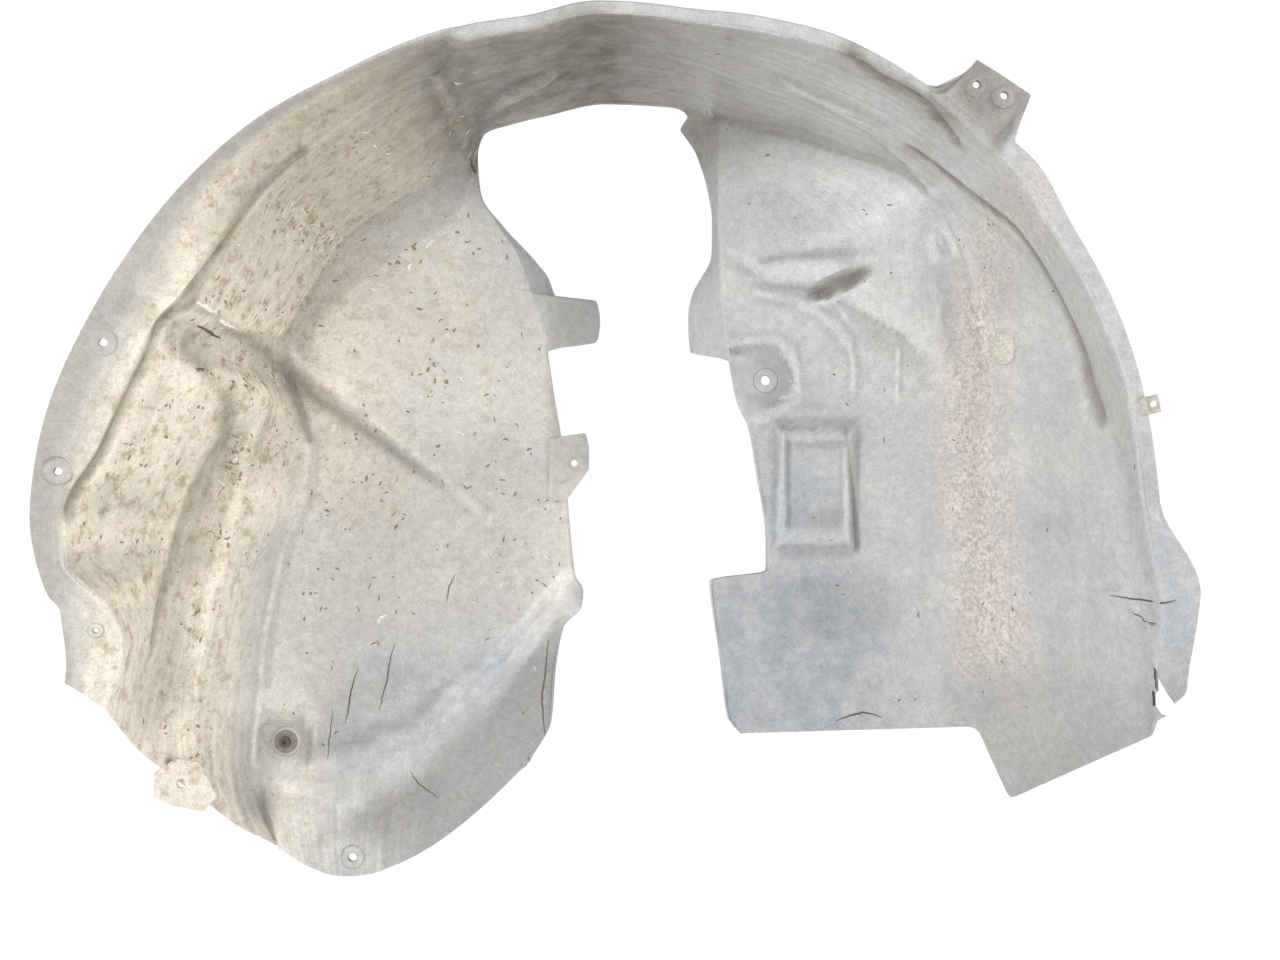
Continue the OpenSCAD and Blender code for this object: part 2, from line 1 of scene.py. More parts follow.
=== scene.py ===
import json
import math

import bpy
import numpy as np
from bpy.props import FloatProperty, FloatVectorProperty, PointerProperty
from bpy.types import Operator, Panel, PropertyGroup
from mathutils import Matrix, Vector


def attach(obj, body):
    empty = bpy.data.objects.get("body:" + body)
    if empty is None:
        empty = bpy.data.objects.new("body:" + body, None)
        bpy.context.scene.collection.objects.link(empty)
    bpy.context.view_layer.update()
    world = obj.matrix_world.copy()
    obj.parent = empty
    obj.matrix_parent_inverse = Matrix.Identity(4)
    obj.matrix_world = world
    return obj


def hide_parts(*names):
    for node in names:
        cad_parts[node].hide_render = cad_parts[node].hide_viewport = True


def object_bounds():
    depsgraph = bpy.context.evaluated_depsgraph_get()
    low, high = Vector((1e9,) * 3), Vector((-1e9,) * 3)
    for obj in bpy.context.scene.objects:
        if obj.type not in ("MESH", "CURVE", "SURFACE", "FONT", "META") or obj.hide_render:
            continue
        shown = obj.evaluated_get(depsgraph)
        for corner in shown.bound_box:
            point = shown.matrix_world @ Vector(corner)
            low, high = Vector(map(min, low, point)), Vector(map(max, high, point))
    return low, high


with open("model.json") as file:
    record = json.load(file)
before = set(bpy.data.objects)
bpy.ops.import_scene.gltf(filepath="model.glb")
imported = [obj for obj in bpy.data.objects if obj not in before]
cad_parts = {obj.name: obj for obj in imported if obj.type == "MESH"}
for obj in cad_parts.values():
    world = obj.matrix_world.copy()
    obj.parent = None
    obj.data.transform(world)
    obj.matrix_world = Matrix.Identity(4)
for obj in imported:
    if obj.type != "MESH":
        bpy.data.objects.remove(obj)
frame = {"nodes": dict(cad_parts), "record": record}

bl_info = {
    "name": "Wheel arch liner",
    "version": (1, 0, 0),
    "blender": (4, 5, 0),
    "location": "3D View > Sidebar > Liner",
    "description": "Dresses the moulded wheel arch liner and sets its stage",
    "category": "Object",
}

CAD_BOX = [list(corner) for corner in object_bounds()]

# The sheet is worked out in millimetres about the centre of the arch, with +X along the car,
# +Y away from the wheel and +Z up, and is then moved so that the main fixing hole is the origin.
DATUM = np.array([154.0, 229.0, 135.0])
ARCH_R = 415.0
ARCH_D = 230.0
WALL_T = 2.5
OPEN_LEFT = 33.0
OPEN_RIGHT = 155.0
OPEN_TAB = 101.0
FLAG_REACH = 47.0
FOOT_REACH = 34.0
RETURN_D = 45.0
EDGE_TURN = 6.0
LUG_H = 36.0
LUG_FORWARD = 12.0
LOBE_W = 33.0
SHOULDER_H = 18.0
SILL_H = 18.0
BULGE_H = 14.0
PAD_H = 9.0
POCKET_D = 6.0
WELT_H = 2.5
STAND_H = 8.0

# Feature lines of the arch: station, angle, radius less the arch radius, depth in percent. A row of
# three has its station as its angle.
EDGE_LINE = [
    [-30, -17.6, 50, 1], [-22, -15, 22, 0], [-12, -11, 20, 0], [0, 20, 0], [7, 19, 0], [22, 21, 0],
    [32, 20, 0], [40, 27, 0], [47, 18, 0], [54, 11, 0], [62, 10, 0], [72, 1, 0], [81, -7, 0], [90, -7, 0],
    [98, -15, 0], [106, -13, 0], [117, -13, 0], [130, -5, 0], [147, 3, 0], [157, 9, 0], [170, 20, 1],
    [178, 22, 1], [186, 186.5, 12, 2], [190, 188.4, 5, 3], [197, 192, 6, 3], [210, 196, 12, 3]]
ROOT_LINE = [
    [-30, -18.8, 47, 8], [-22, -12.9, 33, 8], [-12, -8, 27, 3], [0, 12, 2], [7, 8, 2], [22, 9, 2],
    [27, 10, 3], [34, 9, 4], [41, 12, 4], [47, 9, 4], [54, 8, 3], [62, 2, 3], [72, -7, 3], [81, -14, 3],
    [90, -15, 3], [98, -23, 3], [105, -22, 4], [110, -16, 30], [117, -21, 28], [124, -26, 26],
    [134, -30, 21], [147, -34, 12], [157, -34, 7], [164, -28, 6], [171, -17, 5], [178, 2, 4], [183, 1, 4],
    [190, 188.6, -27, 6], [197, 192.4, -33, 8], [203, 195.6, -26, 9], [210, 200.3, -1, 13]]
GROOVE_LINE = [
    [-30, -20.5, 56, 16], [-22, -13.9, 34, 14], [-12, -9, 27, 12], [0, 13, 14], [7, 10, 17], [17, 10, 27],
    [25, 10, 31], [32, 10, 38], [41, 8, 50], [54, 7, 53], [62, 1, 54], [72, -6, 44], [80, -10, 34],
    [90, -11, 32], [98, -19, 32], [106, -20, 34], [110, -24, 48], [124, -36, 47], [138, -42, 45],
    [151, -48, 46], [156, -66, 48], [160, -86, 51], [166, -80, 56], [172.5, -65, 60], [179, -55, 62],
    [184, -44, 62], [190, 189.5, -33, 60], [197, 195, -20, 56], [203, 199, -5, 52], [210, 206, 14, 38]]
BEAD_LINE = [
    [-30, -34.3, 50, 95], [-22, -20.6, 12, 57], [-15, -13, -6, 57], [-6, -20, 56], [7, -27, 56],
    [17, -23, 57], [25, -15, 59], [32, -5, 61], [39, 1, 62], [46, 6, 64], [54, 5, 68], [62, -1, 74],
    [72, -9, 70], [80, -11, 60], [90, -13, 57], [98, -20, 57], [106, -22, 58], [110, -33, 72],
    [124, -49, 70], [138, -52, 68], [151, -50, 61], [156, -73, 61], [160, -95, 61], [166, -94, 63],
    [172.5, -94, 65], [179, -88, 65], [184, 185, -78, 65], [190, 191, -63, 65], [197, -46, 63],
    [203, -24, 61], [207, 209, -4, 58], [210, 214.5, 15, 64]]
KNUCKLE_LINE = [
    [-30, -28.8, -8, 100], [-22, -26, -18, 100], [-15, -19.4, -59, 99], [-6, -82, 98], [7, -81, 94],
    [17, -68, 90], [25, -49, 84], [32, -29, 78], [39, -9, 72], [46, 4, 70], [51, 5, 77], [56, -1, 85],
    [63, -3, 93], [70, -12, 98], [74, -14, 96], [78, -13, 80], [90, -14, 79], [98, -21, 79],
    [106, -24, 80], [109, -38, 93], [112, -56, 98], [120, -66, 97], [134, -62, 97], [144, -57, 96],
    [150, -60, 95], [156, -89, 96], [160, -109, 98], [166, -124, 100], [175, -128, 100],
    [184, 184.5, -107, 100], [190, 192, -90, 100], [197, 200, -66, 100], [203, 208, -39, 100],
    [207, 215.5, -3, 100], [210, 224.9, 28, 97]]
# Edge of the opening: where x is measured from, then station, x, z, depth in percent.
OPENING_LINE = [[s, base + x, z, d] for base, rows in (
    (OPEN_TAB, [[-30, 29, -203, 101], [-28, 17, -188, 102], [-25, 13, -160, 102], [-19, 9, -127, 102],
                [-9.2, 0, -57, 102]]),
    (OPEN_RIGHT, [[-7, 0, -47, 101], [0, 0, -18, 101], [14, -9, 45, 100], [28, -17, 91, 100],
                  [32, -28, 115, 100], [38, -37, 165, 100], [46, -42, 207, 100], [56, -46, 268, 100],
                  [70, -47, 350, 100], [74, -48, 377, 100], [77, -60, 389, 98]]),
    (0, [[81, 63, 397, 98], [90, 0, 400, 98], [98, -55, 389, 98], [104, -95, 379, 98],
         [107, -115, 372, 99], [109, -122, 352, 100], [112, -119, 316, 100], [117, -102, 285, 100]]),
    (-OPEN_LEFT, [[124, -50, 255, 100], [134, -38, 220, 100], [144, -25, 180, 100], [156, -15, 118, 100],
                  [166, -6, 62, 100], [179, 0, -8, 100], [190, 5, -52, 100], [193.5, 13, -68, 100],
                  [195, 12, -80, 100], [197, -5, -98, 100], [203, -13, -140, 101], [207, -17, -188, 101],
                  [210, -35, -222, 101]]))
    for s, x, z, d in rows]
# Return flange: station, then how far its own edge lies from the opening's edge in x, z and y.
RETURN_LINE = [
    [-30, 0, 0, EDGE_TURN], [36.5, 0, 0, EDGE_TURN], [38, -FOOT_REACH, 2, RETURN_D],
    [46, 3 - FOOT_REACH, -3, RETURN_D], [49, 8 - FOOT_REACH, -2, RETURN_D], [56, -4, -4, RETURN_D],
    [61, -3, 0, RETURN_D], [67, -8, 0, RETURN_D], [72, -18, 0, RETURN_D], [75, -30, 4, RETURN_D],
    [77.5, -12, 3, RETURN_D / 2], [81, 0, 0, EDGE_TURN], [112, 0, 0, EDGE_TURN],
    [117, 3, 1, RETURN_D / 5], [122, 9, 2, RETURN_D / 2], [129, 20, 2, RETURN_D * 5 / 6],
    [133.5, 22, 0, RETURN_D - 4], [134.5, FLAG_REACH + 14, 0, RETURN_D],
    [144.5, FLAG_REACH + 2, 0, RETURN_D], [147.5, 0, 0, EDGE_TURN], [210, 0, 0, EDGE_TURN]]
# How far the wall of the left lower end bows in x and z.
BOW_LINE = [[-30, 0, 0], [203, 0, 0], [207, -4, -24], [210, -12, -58]]
# Radius at each of the five rounded lines.
ROUND_LINE = [
    [-30, 3, 6, 8, 10, 2], [-15, 4, 8, 14, 30, 2], [35, 4, 6, 14, 30, 2], [50, 4, 6, 10, 12, 2],
    [75, 3, 8, 10, 12, 2], [108, 4, 8, 12, 14, 2], [114, 8, 12, 16, 40, 2], [150, 8, 14, 10, 34, 2],
    [160, 8, 16, 8, 14, 2], [190, 5, 16, 10, 9, 2], [210, 6, 14, 10, 10, 2]]
# Outlines of the two tabs in the front view.
CORNER_TAB = [
    [-384, -212], [-384, -233], [-368, -240], [-342, -245], [-330, -232], [-345, -203], [-365, -199]]
OPENING_TAB = [[-53, 80], [-18, 85], [-15, 72], [-15, 50], [-26, 35], [-37, 20], [-53, 20]]
# Slot that parts the lobe from the flap.
SLOT = [[430.8, -105.7], [437, -105.7], [443, -123], [450, -143], [440, -143], [435.5, -130]]
# Faces this near the slot are split so many times a side: those that face the camera, down to this
# depth, and all of them below the mouth.
SLOT_MARGIN = 3.0
SLOT_DEPTH = 24.0
SLOT_MOUTH = -126.0
SLOT_SPLIT = 6

# Fine relief in the front view: points, half width and height of each raised or sunk line. The panel
# lines and the pad's flank frame the recess of the pad.
RIDGES = {
    "bulge": ([[144, 218], [181, 211], [214, 206], [221, 200], [229, 188], [242, 184], [274, 166],
               [288, 162], [300, 147], [314, 124], [326, 98]], 3, 2.4),
    "arc": ([[184, 204], [200, 197], [219, 181], [231, 165], [235, 148], [235, 123]], 3, 1.8),
    "corner": ([[274, 166], [276, 112], [324, 111]], 2.5, 1.2),
    "plate": ([[120, 172], [163, 173], [180, 160], [184, 143], [179, 123], [163, 107],
               [146, 97]], 3, 2.4),
    "plate_dent": ([[126, 163], [162, 163]], 5, -6.0),
    "crease_top": ([[105, 385], [149, 375], [187, 364], [224, 345], [247, 335], [270, 321],
                    [290, 301]], 3, -2.0),
    "panel_top": ([[160, 96], [200, 101], [246, 92]], 3, 1.5),
    "panel_left": ([[172, 88], [167, 30], [166, -10]], 3, 2.0),
    "left_line": ([[-283, 88], [-284, 60], [-288, 21], [-307, -24], [-320, -81], [-329, -132],
                   [-330, -185]], 4, 2.0),
    "peak": ([[-318, 178], [-309, 161], [-296, 134], [-286, 104], [-281, 78]], 3, -2.5),
    "pad_flank": ([[229, 86], [236, 30], [242, -25]], 3, -2.5),
    "facet_foot": ([[-150, 36], [-110, 2]], 3, 1.4),
}
# The same on the crown, where each point is an angle and a depth. One degree is this many millimetres.
CROWN_DEGREE = 7.3
CROWN_RIDGES = {
    "gutter": ([[128, 52], [133, 46], [140, 36], [146, 26], [153, 23], [160, 21], [166, 20], [171, 20],
                [178, 17]], 3.5, -3.5),
    "valley": ([[156, 60], [161, 108], [167, 130], [172, 136], [178, 134], [185, 132], [189, 114],
                [194, 101]], 9, -3.0),
    "bead_rib": ([[158, 152], [170, 146], [183, 149], [197, 142]], 6, 2.5),
    "second": ([[50.5, 119], [41.7, 101], [35.4, 74], [28.8, 70], [22.8, 67], [16.4, 69],
                [12.6, 61]], 5, -3.0),
    "lip": ([[62, 4], [58.4, 21], [52.2, 18], [47.4, 42]], 5, -3.0),
    "band": ([[66, 112], [61, 118], [54, 132], [45.3, 150]], 11, 5.0),
}
# How dark the painted shade, with some old dirt, lies along some of these lines, and over which distance it
# fades.
SHADE_AND_DIRT_LINES = {
    "crease_top": (0.4, 6), "valley": (0.52, 15), "gutter": (0.85, 5), "peak": (0.7, 4), "lip": (0.7, 9),
    "second": (0.6, 9), "pad_flank": (0.5, 4), "panel_top": (0.3, 4)}
# Cracks and scratches: points in the front view and width.
CRACKS = [
    ([[-201, -117], [-206, -140], [-209, -161], [-212, -182]], 1.3),
    ([[-236, -140], [-242, -161], [-244, -176], [-248, -192]], 1.5),
    ([[-261, -180], [-263, -204], [-265, -228]], 1.0),
    ([[-52, -111], [-55, -135], [-58, -158], [-57, -179], [-55, -201]], 1.6),
    ([[222, -191], [235, -186], [251, -181], [260, -182], [268, -185]], 1.8),
    ([[-183, -234], [-176, -245], [-166, -251], [-155, -257]], 1.4),
    ([[-143, -50], [-148, -62], [-151, -75]], 1.2),
    ([[420, -55], [437, -53], [449, -50]], 1.6), ([[430, -66], [440, -74]], 1.2),
    ([[-327, 166], [-321, 160]], 3.5), ([[-332, 132], [-327, 126]], 3.0), ([[-127, 345], [-122, 330]], 3.0),
]
# Pale chips, given in the same way.
CHIPS = [
    ([[-313, 173], [-309, 171]], 4.0), ([[-318, 182], [-314, 177]], 4.0), ([[-216, -96], [-207, -90]], 2.0),
    ([[-170, 262], [-163, 266]], 2.5), ([[-186, 240], [-182, 246]], 2.5)]
# Loose dirt: piece, count, colour, length, width, and how much the dust and the felt band draw it.
LOOSE_DIRT = [
    ("pale_fibres", 170, "#eee8da", 7, 1.0, 1.0, 0.4), ("brown_mud", 420, "#94836c", 4, 2.2, 1.0, 0.3),
    ("dark_grit", 170, "#6a5e50", 2.5, 1.2, 0.8, 0.8)]

# Sections of each skin, then points between one rounded line and the next, and last the points on each
# rounded line.
FRONT_ROWS = 400
FRONT_FILL = [10, 20, 13, 16, 118, 4, 9]
BACK_ROWS = 240
BACK_FILL = [4, 8, 5, 7, 48, 2, 5]
# Where the sections lie closer together: station, reach and gain.
BUSY = [(49, 6, 1.2), (75, 3, 1.5), (109, 4, 1.2), (-9, 3, 1.5), (194, 4, 1.0), (208, 3, 1.0), (134, 2, 1.5),
        (37.5, 2, 1.5), (-23, 5, 2.2)]

# Lines and corners of the walls' relief, in the front view.
SHOULDER_A = np.array([-320.0, 178.0])
SHOULDER_B = np.array([-141.0, 30.0])
SILL_EDGE = np.array([
    [-330, -240], [-252, -234], [-180, -203], [-148, -168], [-104, -131], [-42, -57]], float)
BULGE_EDGE = np.array([
    [100, 268], [136, 242], [165, 224], [209, 216], [238, 197], [279, 174], [311, 142], [335, 100]], float)
PAD_LO = (166.0, -22.0)
PAD_HI = (238.0, 88.0)
MAIN_HOLE = (154.0, 135.0)
POCKET_HOLE = (-306.2, -211.2)
FOOT_HOLE = (-235.1, -313.1)
POCKET_R = 26.0
# Depths of the flat floors under the main hole, the left pocket and the foot hole.
MAIN_FLOOR = ARCH_D - 1
POCKET_FLOOR = ARCH_D + POCKET_D
FOOT_FLOOR = ARCH_D - SILL_H - STAND_H


def rgb(code):
    """Linear colour of an sRGB hex code."""
    values = [int(code[k:k + 2], 16) / 255 for k in (1, 3, 5)]
    return [v / 12.92 if v <= 0.04045 else ((v + 0.055) / 1.055) ** 2.4 for v in values]


def rgba(code):
    """The same colour with full cover."""
    return rgb(code) + [1.0]


# Smooth curves and the section of the sheet


def ease(a, b, v):
    """Smooth step from 0 at a to 1 at b: 3t squared less 2t cubed."""
    t = np.clip((v - a) / (b - a), 0, 1)
    return t * t * (3 - 2 * t)


def between(a, b, c, d, v):
    """Smooth step up from a to b, and down again from c to d."""
    return ease(a, b, v) * ease(d, c, v)


def polar(x, z):
    """Angle in degrees from nought to 360, and radius."""
    return np.degrees(np.arctan2(z, x)) % 360, np.hypot(x, z)


def along(keys, s, column):
    """Smooth curve through the keys at the stations s.

    Each span is a cubic whose end slopes are the harmonic mean of the slopes on either side, so the
    curve never overshoots its keys."""
    keys = np.asarray(keys, float)
    x, y = keys[:, 0], keys[:, column]
    rise = np.diff(y) / np.diff(x)
    left, right = rise[:-1], rise[1:]
    total = np.where(np.abs(left + right) < 1e-12, 1, left + right)
    slope = np.concatenate([[rise[0]], np.where(left * right <= 0, 0, 2 * left * right / total), [rise[-1]]])
    i = np.clip(np.searchsorted(x, s, side="right") - 1, 0, len(x) - 2)
    w = x[i + 1] - x[i]
    t = np.clip((s - x[i]) / w, 0, 1)
    return (y[i] * (1 - t) ** 2 * (1 + 2 * t) + slope[i] * w * t * (1 - t) ** 2
            + y[i + 1] * t * t * (3 - 2 * t) - slope[i + 1] * w * t * t * (1 - t))


def crown_point(keys, s, out=0):
    """Point at the angle and radius that the keys give, at their depth."""
    keys = [row if len(row) > 3 else [row[0], *row] for row in keys]
    a, r = np.radians(along(keys, s, 1)), ARCH_R + along(keys, s, 2) + out
    return np.stack([r * np.cos(a), along(keys, s, 3) * ARCH_D / 100, r * np.sin(a)], -1)


def section(s):
    """The seven corner points of each section: edge, root, groove, bead, knuckle, opening and return."""
    lug, lobe = between(43, 45, 51.5, 53, s), between(-30, -22, -6, 3, s)
    opening = np.stack([along(OPENING_LINE, s, 1), along(OPENING_LINE, s, 3) * ARCH_D / 100,
                        along(OPENING_LINE, s, 2)], -1)
    back = np.stack([along(RETURN_LINE, s, 1), along(RETURN_LINE, s, 3), along(RETURN_LINE, s, 2)], -1)
    return np.stack([crown_point(EDGE_LINE, s, LUG_H * lug + LOBE_W * lobe), crown_point(ROOT_LINE, s),
                     crown_point(GROOVE_LINE, s), crown_point(BEAD_LINE, s), crown_point(KNUCKLE_LINE, s),
                     opening, opening + back], 1)


def span(a, b, n):
    """n points between a and b, ends left out, on a straight line."""
    t = (np.arange(1, n + 1) / (n + 1))[None, :, None]
    return a[:, None] * (1 - t) + b[:, None] * t


def plain_sheet(s, fill):
    """Sections joined into a grid.

    Each corner point becomes a curve of second order whose ends lie one radius, and at most 40 %
    of the side, away from it. The wall of the left lower end bows by 4t(1 - t) times its bow."""
    p = section(s)
    starts, curves = [], []
    for k in range(1, 6):
        r = along(ROUND_LINE, s, k)[:, None]
        sides = p[:, k - 1] - p[:, k], p[:, k + 1] - p[:, k]
        lengths = [np.maximum(np.linalg.norm(side, axis=1, keepdims=True), 0.01) for side in sides]
        a, b = (p[:, k] + side * np.minimum(0.4, r / length) for side, length in zip(sides, lengths))
        t = np.linspace(0, 1, fill[6])[None, :, None]
        starts.append((a, b))
        curves.append(a[:, None] * (1 - t) ** 2 + 2 * t * (1 - t) * p[:, k][:, None] + b[:, None] * t * t)
    wall = span(starts[3][1], starts[4][0], fill[4])
    t = (np.arange(1, fill[4] + 1) / (fill[4] + 1))[None, :, None]
    bow = np.stack([along(BOW_LINE, s, 1), 0 * s, along(BOW_LINE, s, 2)], -1)[:, None]
    wall = wall + 4 * t * (1 - t) * bow
    return np.concatenate([
        p[:, :1], span(p[:, 0], starts[0][0], fill[0]), curves[0],
        span(starts[0][1], starts[1][0], fill[1]), curves[1],
        span(starts[1][1], starts[2][0], fill[2]), curves[2],
        span(starts[2][1], starts[3][0], fill[3]), curves[3], wall,
        curves[4], span(starts[4][1], p[:, 6], fill[5]), p[:, 6:]], 1)


def unit(v):
    """Vectors divided by their lengths."""
    return v / np.maximum(np.linalg.norm(v, axis=-1, keepdims=True), 1e-9)


def normals(grid):
    """Unit normals of a grid, away from the wheel, from the differences of its neighbours."""
    return unit(np.cross(np.gradient(grid, axis=1), np.gradient(grid, axis=0)))


def blurred(field, axis, reach):
    """Mean of a field over a few neighbours along one axis, with its ends repeated."""
    pad = [(0, 0)] * field.ndim
    pad[axis] = (reach, reach)
    wide = np.pad(field, pad, mode="edge")
    total = sum(np.take(wide, range(k, k + field.shape[axis]), axis) for k in range(2 * reach + 1))
    return total / (2 * reach + 1)


# Relief of the walls, in millimetres towards the wheel


def shoulder_place(x, z):
    """Share of the way along the step's line, distance above it, and how wide the step is there."""
    d = SHOULDER_B - SHOULDER_A
    length = np.hypot(*d)
    t = ((x - SHOULDER_A[0]) * d[0] + (z - SHOULDER_A[1]) * d[1]) / length ** 2
    n = ((x - SHOULDER_A[0]) * -d[1] + (z - SHOULDER_A[1]) * d[0]) / length
    return t, n, 30 - 24 * np.clip(t, 0, 1)


def shoulder(x, z):
    """Step across the left wall, highest at the crown and fading along its line."""
    t, n, w = shoulder_place(x, z)
    rise = (n + w) / w
    return SHOULDER_H * (1 - np.clip(t, 0, 1)) * ease(0, 1, rise) * ease(130, 20, n) * ease(-0.25, 0.02, t)


def below_sill(x, z):
    """How far a place lies below the edge line of the lowest left panel."""
    return np.interp(x, SILL_EDGE[:, 0], SILL_EDGE[:, 1]) - z


def sill(x, z):
    """Lowest left panel, stepped forward below its edge line."""
    return SILL_H * ease(0, 26, below_sill(x, z)) * ease(-338, -305, x)


def bulge(x, z):
    """Bulge of the upper right wall above its edge line."""
    d = z - np.interp(x, BULGE_EDGE[:, 0], BULGE_EDGE[:, 1])
    return BULGE_H * between(-9, 9, 20, 110, d) * between(108, 150, 300, 345, x)


def raised_pad(x, z):
    """Four-sided pad with soft sides."""
    inside = np.minimum.reduce([x - PAD_LO[0], PAD_HI[0] - x, z - PAD_LO[1], PAD_HI[1] - z])
    return PAD_H * ease(-5, 6, inside)


def pocket(x, z, centre):
    """Share of a flat pocket floor: round on the right of its centre, and open to the left."""
    reach = np.hypot(np.maximum(x - centre[0], 0), z - centre[1])
    return ease(POCKET_R + 2, POCKET_R - 3, reach)


def lug_face(x, z):
    """The lug stands forward of the flange."""
    angle, r = polar(x, z)
    return LUG_FORWARD * between(43.5, 45.5, 51.8, 53, angle) * ease(9, 16, r - ARCH_R)


def line_reach(x, z, points):
    """Distance from every place in the front view to a line of points, the least over its sides."""
    best = np.full(x.shape, 1e9)
    for a, b in zip(np.array(points[:-1], float), np.array(points[1:], float)):
        d = b - a
        t = np.clip(((x - a[0]) * d[0] + (z - a[1]) * d[1]) / (d @ d), 0, 1)
        best = np.minimum(best, np.hypot(x - a[0] - t * d[0], z - a[1] - t * d[1]))
    return best


def line_share(x, y, z, name, fade):
    """Bell curve across a named line, one on the line itself."""
    if name in RIDGES:
        return np.exp(-(line_reach(x, z, RIDGES[name][0]) / fade) ** 2)
    points = np.array(CROWN_RIDGES[name][0], float) * (CROWN_DEGREE, 1)
    angle, r = polar(x, z)
    return np.exp(-(line_reach(angle * CROWN_DEGREE, y, points) / fade) ** 2) * ease(270, 320, r)


def oval(x, z, centre, half, turn):
    """One at the centre of an oval and nought at its rim and outside."""
    c, q = math.cos(math.radians(turn)), math.sin(math.radians(turn))
    u, v = (x - centre[0]) * c + (z - centre[1]) * q, (z - centre[1]) * c - (x - centre[0]) * q
    return ease(1.15, 0.55, np.hypot(u / half[0], v / half[1]))


def swelling(x, y, z):
    """Share of the oval swelling on the crown, near its top."""
    angle, r = polar(x, z)
    return oval((angle - 100.5) * 7.2, y, (0, 146), (50, 13), 36) * ease(300, 340, r)


def fine_relief(x, y, z):
    """Raised and sunk lines, each a bell curve across its width, then the ovals, the pad's recess and
    slow waves of one millimetre from the moulding."""
    total = sum(h * line_share(x, y, z, name, w) for name, (_, w, h) in (RIDGES | CROWN_RIDGES).items())
    total = total + 8 * oval(x, z, (192, 234), (54, 14), 3) - 9 * oval(x, z, (219, 222), (33, 9), 22)
    total = total - 5 * oval(x, z, (308, 252), (13, 4), -62)
    inner = np.minimum.reduce([x - 174, 228 - x, 80 - z])
    total = total - (3 + 3 * ease(174, 228, x)) * ease(-3, 4, inner) * ease(-16, 8, z)
    waves = 1.1 * np.sin(x / 31 + 1.3 * np.sin(z / 47)) * np.sin(z / 37 + 0.8 * np.sin(x / 53))
    return total + 6 * swelling(x, y, z) + waves


def relief(x, z):
    """All the relief together: the left half and the right half have their own."""
    return np.where(x < 0, shoulder(x, z) + sill(x, z), bulge(x, z) + raised_pad(x, z) + lug_face(x, z))


def floors(front, walls):
    """Flat floors of the pockets and of the stand, laid at their own depths into the walls."""
    x, y, z = (front[..., k] for k in range(3))
    left, right = walls & (x < 0), walls & (x > 0)
    near = ease(120, 60, np.hypot(x - POCKET_HOLE[0], z - POCKET_HOLE[1]))
    stand = ease(34, 24, np.abs(x - FOOT_HOLE[0])) * ease(30, 16, z - FOOT_HOLE[1])
    y = y + (MAIN_FLOOR - y) * pocket(x, z, MAIN_HOLE) * right
    y = y + (POCKET_FLOOR - y) * pocket(x, z, POCKET_HOLE) * near * left
    return np.stack([x, y + (FOOT_FLOOR - y) * stand * left, z], -1)


def stations(count):
    """Stations, closer together where the outline turns, from the running sum of a density."""
    s = np.linspace(-30, 210, 4001)
    busy = 1 + sum(gain * np.exp(-((s - at) / reach) ** 2) for at, reach, gain in BUSY)
    total = np.concatenate([[0], np.cumsum((busy[1:] + busy[:-1]) / 2)])
    return np.interp(np.linspace(0, total[-1], count), total, s)


def front_skin(count, fill):
    """Front skin: the plain sheet moved towards the wheel by its relief, with its flat floors."""
    s = stations(count)
    plain = plain_sheet(s, fill)
    n = unit(blurred(blurred(normals(plain), 1, 2), 0, 1))
    j = np.arange(plain.shape[1])
    knuckle = sum(fill[:4]) + 3 * fill[6] + 1
    crown = (j > fill[0] + fill[6] // 2) & (j < knuckle)
    welt = WELT_H * np.maximum(0, 1 - np.abs(s - 110) / 1.3)[:, None] * crown[None]
    x, y, z = (plain[..., k] for k in range(3))
    inside = (j > fill[0] + fill[6] // 2) & (j < len(j) - fill[5] - fill[6])
    n[:, len(j) - fill[5] - fill[6] - 1:] = (0, 1, 0)
    front = plain - n * (relief(x, z) + welt + fine_relief(x, y, z) * inside[None])[..., None]
    walls = (j > knuckle + fill[6] // 2) & (j < len(j) - fill[5] - fill[6] // 2 - 1)
    return floors(front, np.broadcast_to(walls[None], front.shape[:2]))


# Meshes


def mesh_object(name, points, quads, material, attributes=(), angle=40):
    """A piece of the moulded sheet, from points in millimetres about the centre of the arch, faces of four
    corners and the attributes of its dirt and painted shade. Edges sharper than the angle stay sharp."""
    mesh = bpy.data.meshes.new(name)
    quads = np.asarray(quads, np.int32)
    mesh.vertices.add(len(points))
    mesh.vertices.foreach_set("co", ((points - DATUM) / 1000).astype(np.float32).ravel())
    mesh.loops.add(quads.size)
    mesh.loops.foreach_set("vertex_index", quads.ravel())
    mesh.polygons.add(len(quads))
    mesh.polygons.foreach_set("loop_start", np.arange(0, quads.size, 4, dtype=np.int32))
    mesh.update(calc_edges=True)
    mesh.validate()
    mesh.polygons.foreach_set("use_smooth", np.ones(len(mesh.polygons), bool))
    for key, values in attributes:
        layer = mesh.attributes.new(key, "FLOAT", "POINT")
        layer.data.foreach_set("value", values.astype(np.float32).ravel())
    mesh.set_sharp_from_angle(angle=math.radians(angle))
    mesh.materials.append(material)
    obj = bpy.data.objects.new(name, mesh)
    bpy.context.scene.collection.objects.link(obj)
    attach(obj, "root")
    return obj


def grid_quads(rows, columns, wrap=False):
    """Faces of a grid of points, in order of rows; wrap closes the columns."""
    i, j = np.meshgrid(np.arange(rows - 1), np.arange(columns if wrap else columns - 1), indexing="ij")
    k = (j + 1) % columns
    first, second = i * columns, (i + 1) * columns
    return np.stack([first + j, second + j, second + k, first + k], -1).reshape(-1, 4)


def frame_at(normal):
    """A direction and two unit vectors across it."""
    n = unit(np.asarray(normal, float))
    side = unit(np.cross(n, [0, 0, 1.0]))
    return n, side, np.cross(n, side)


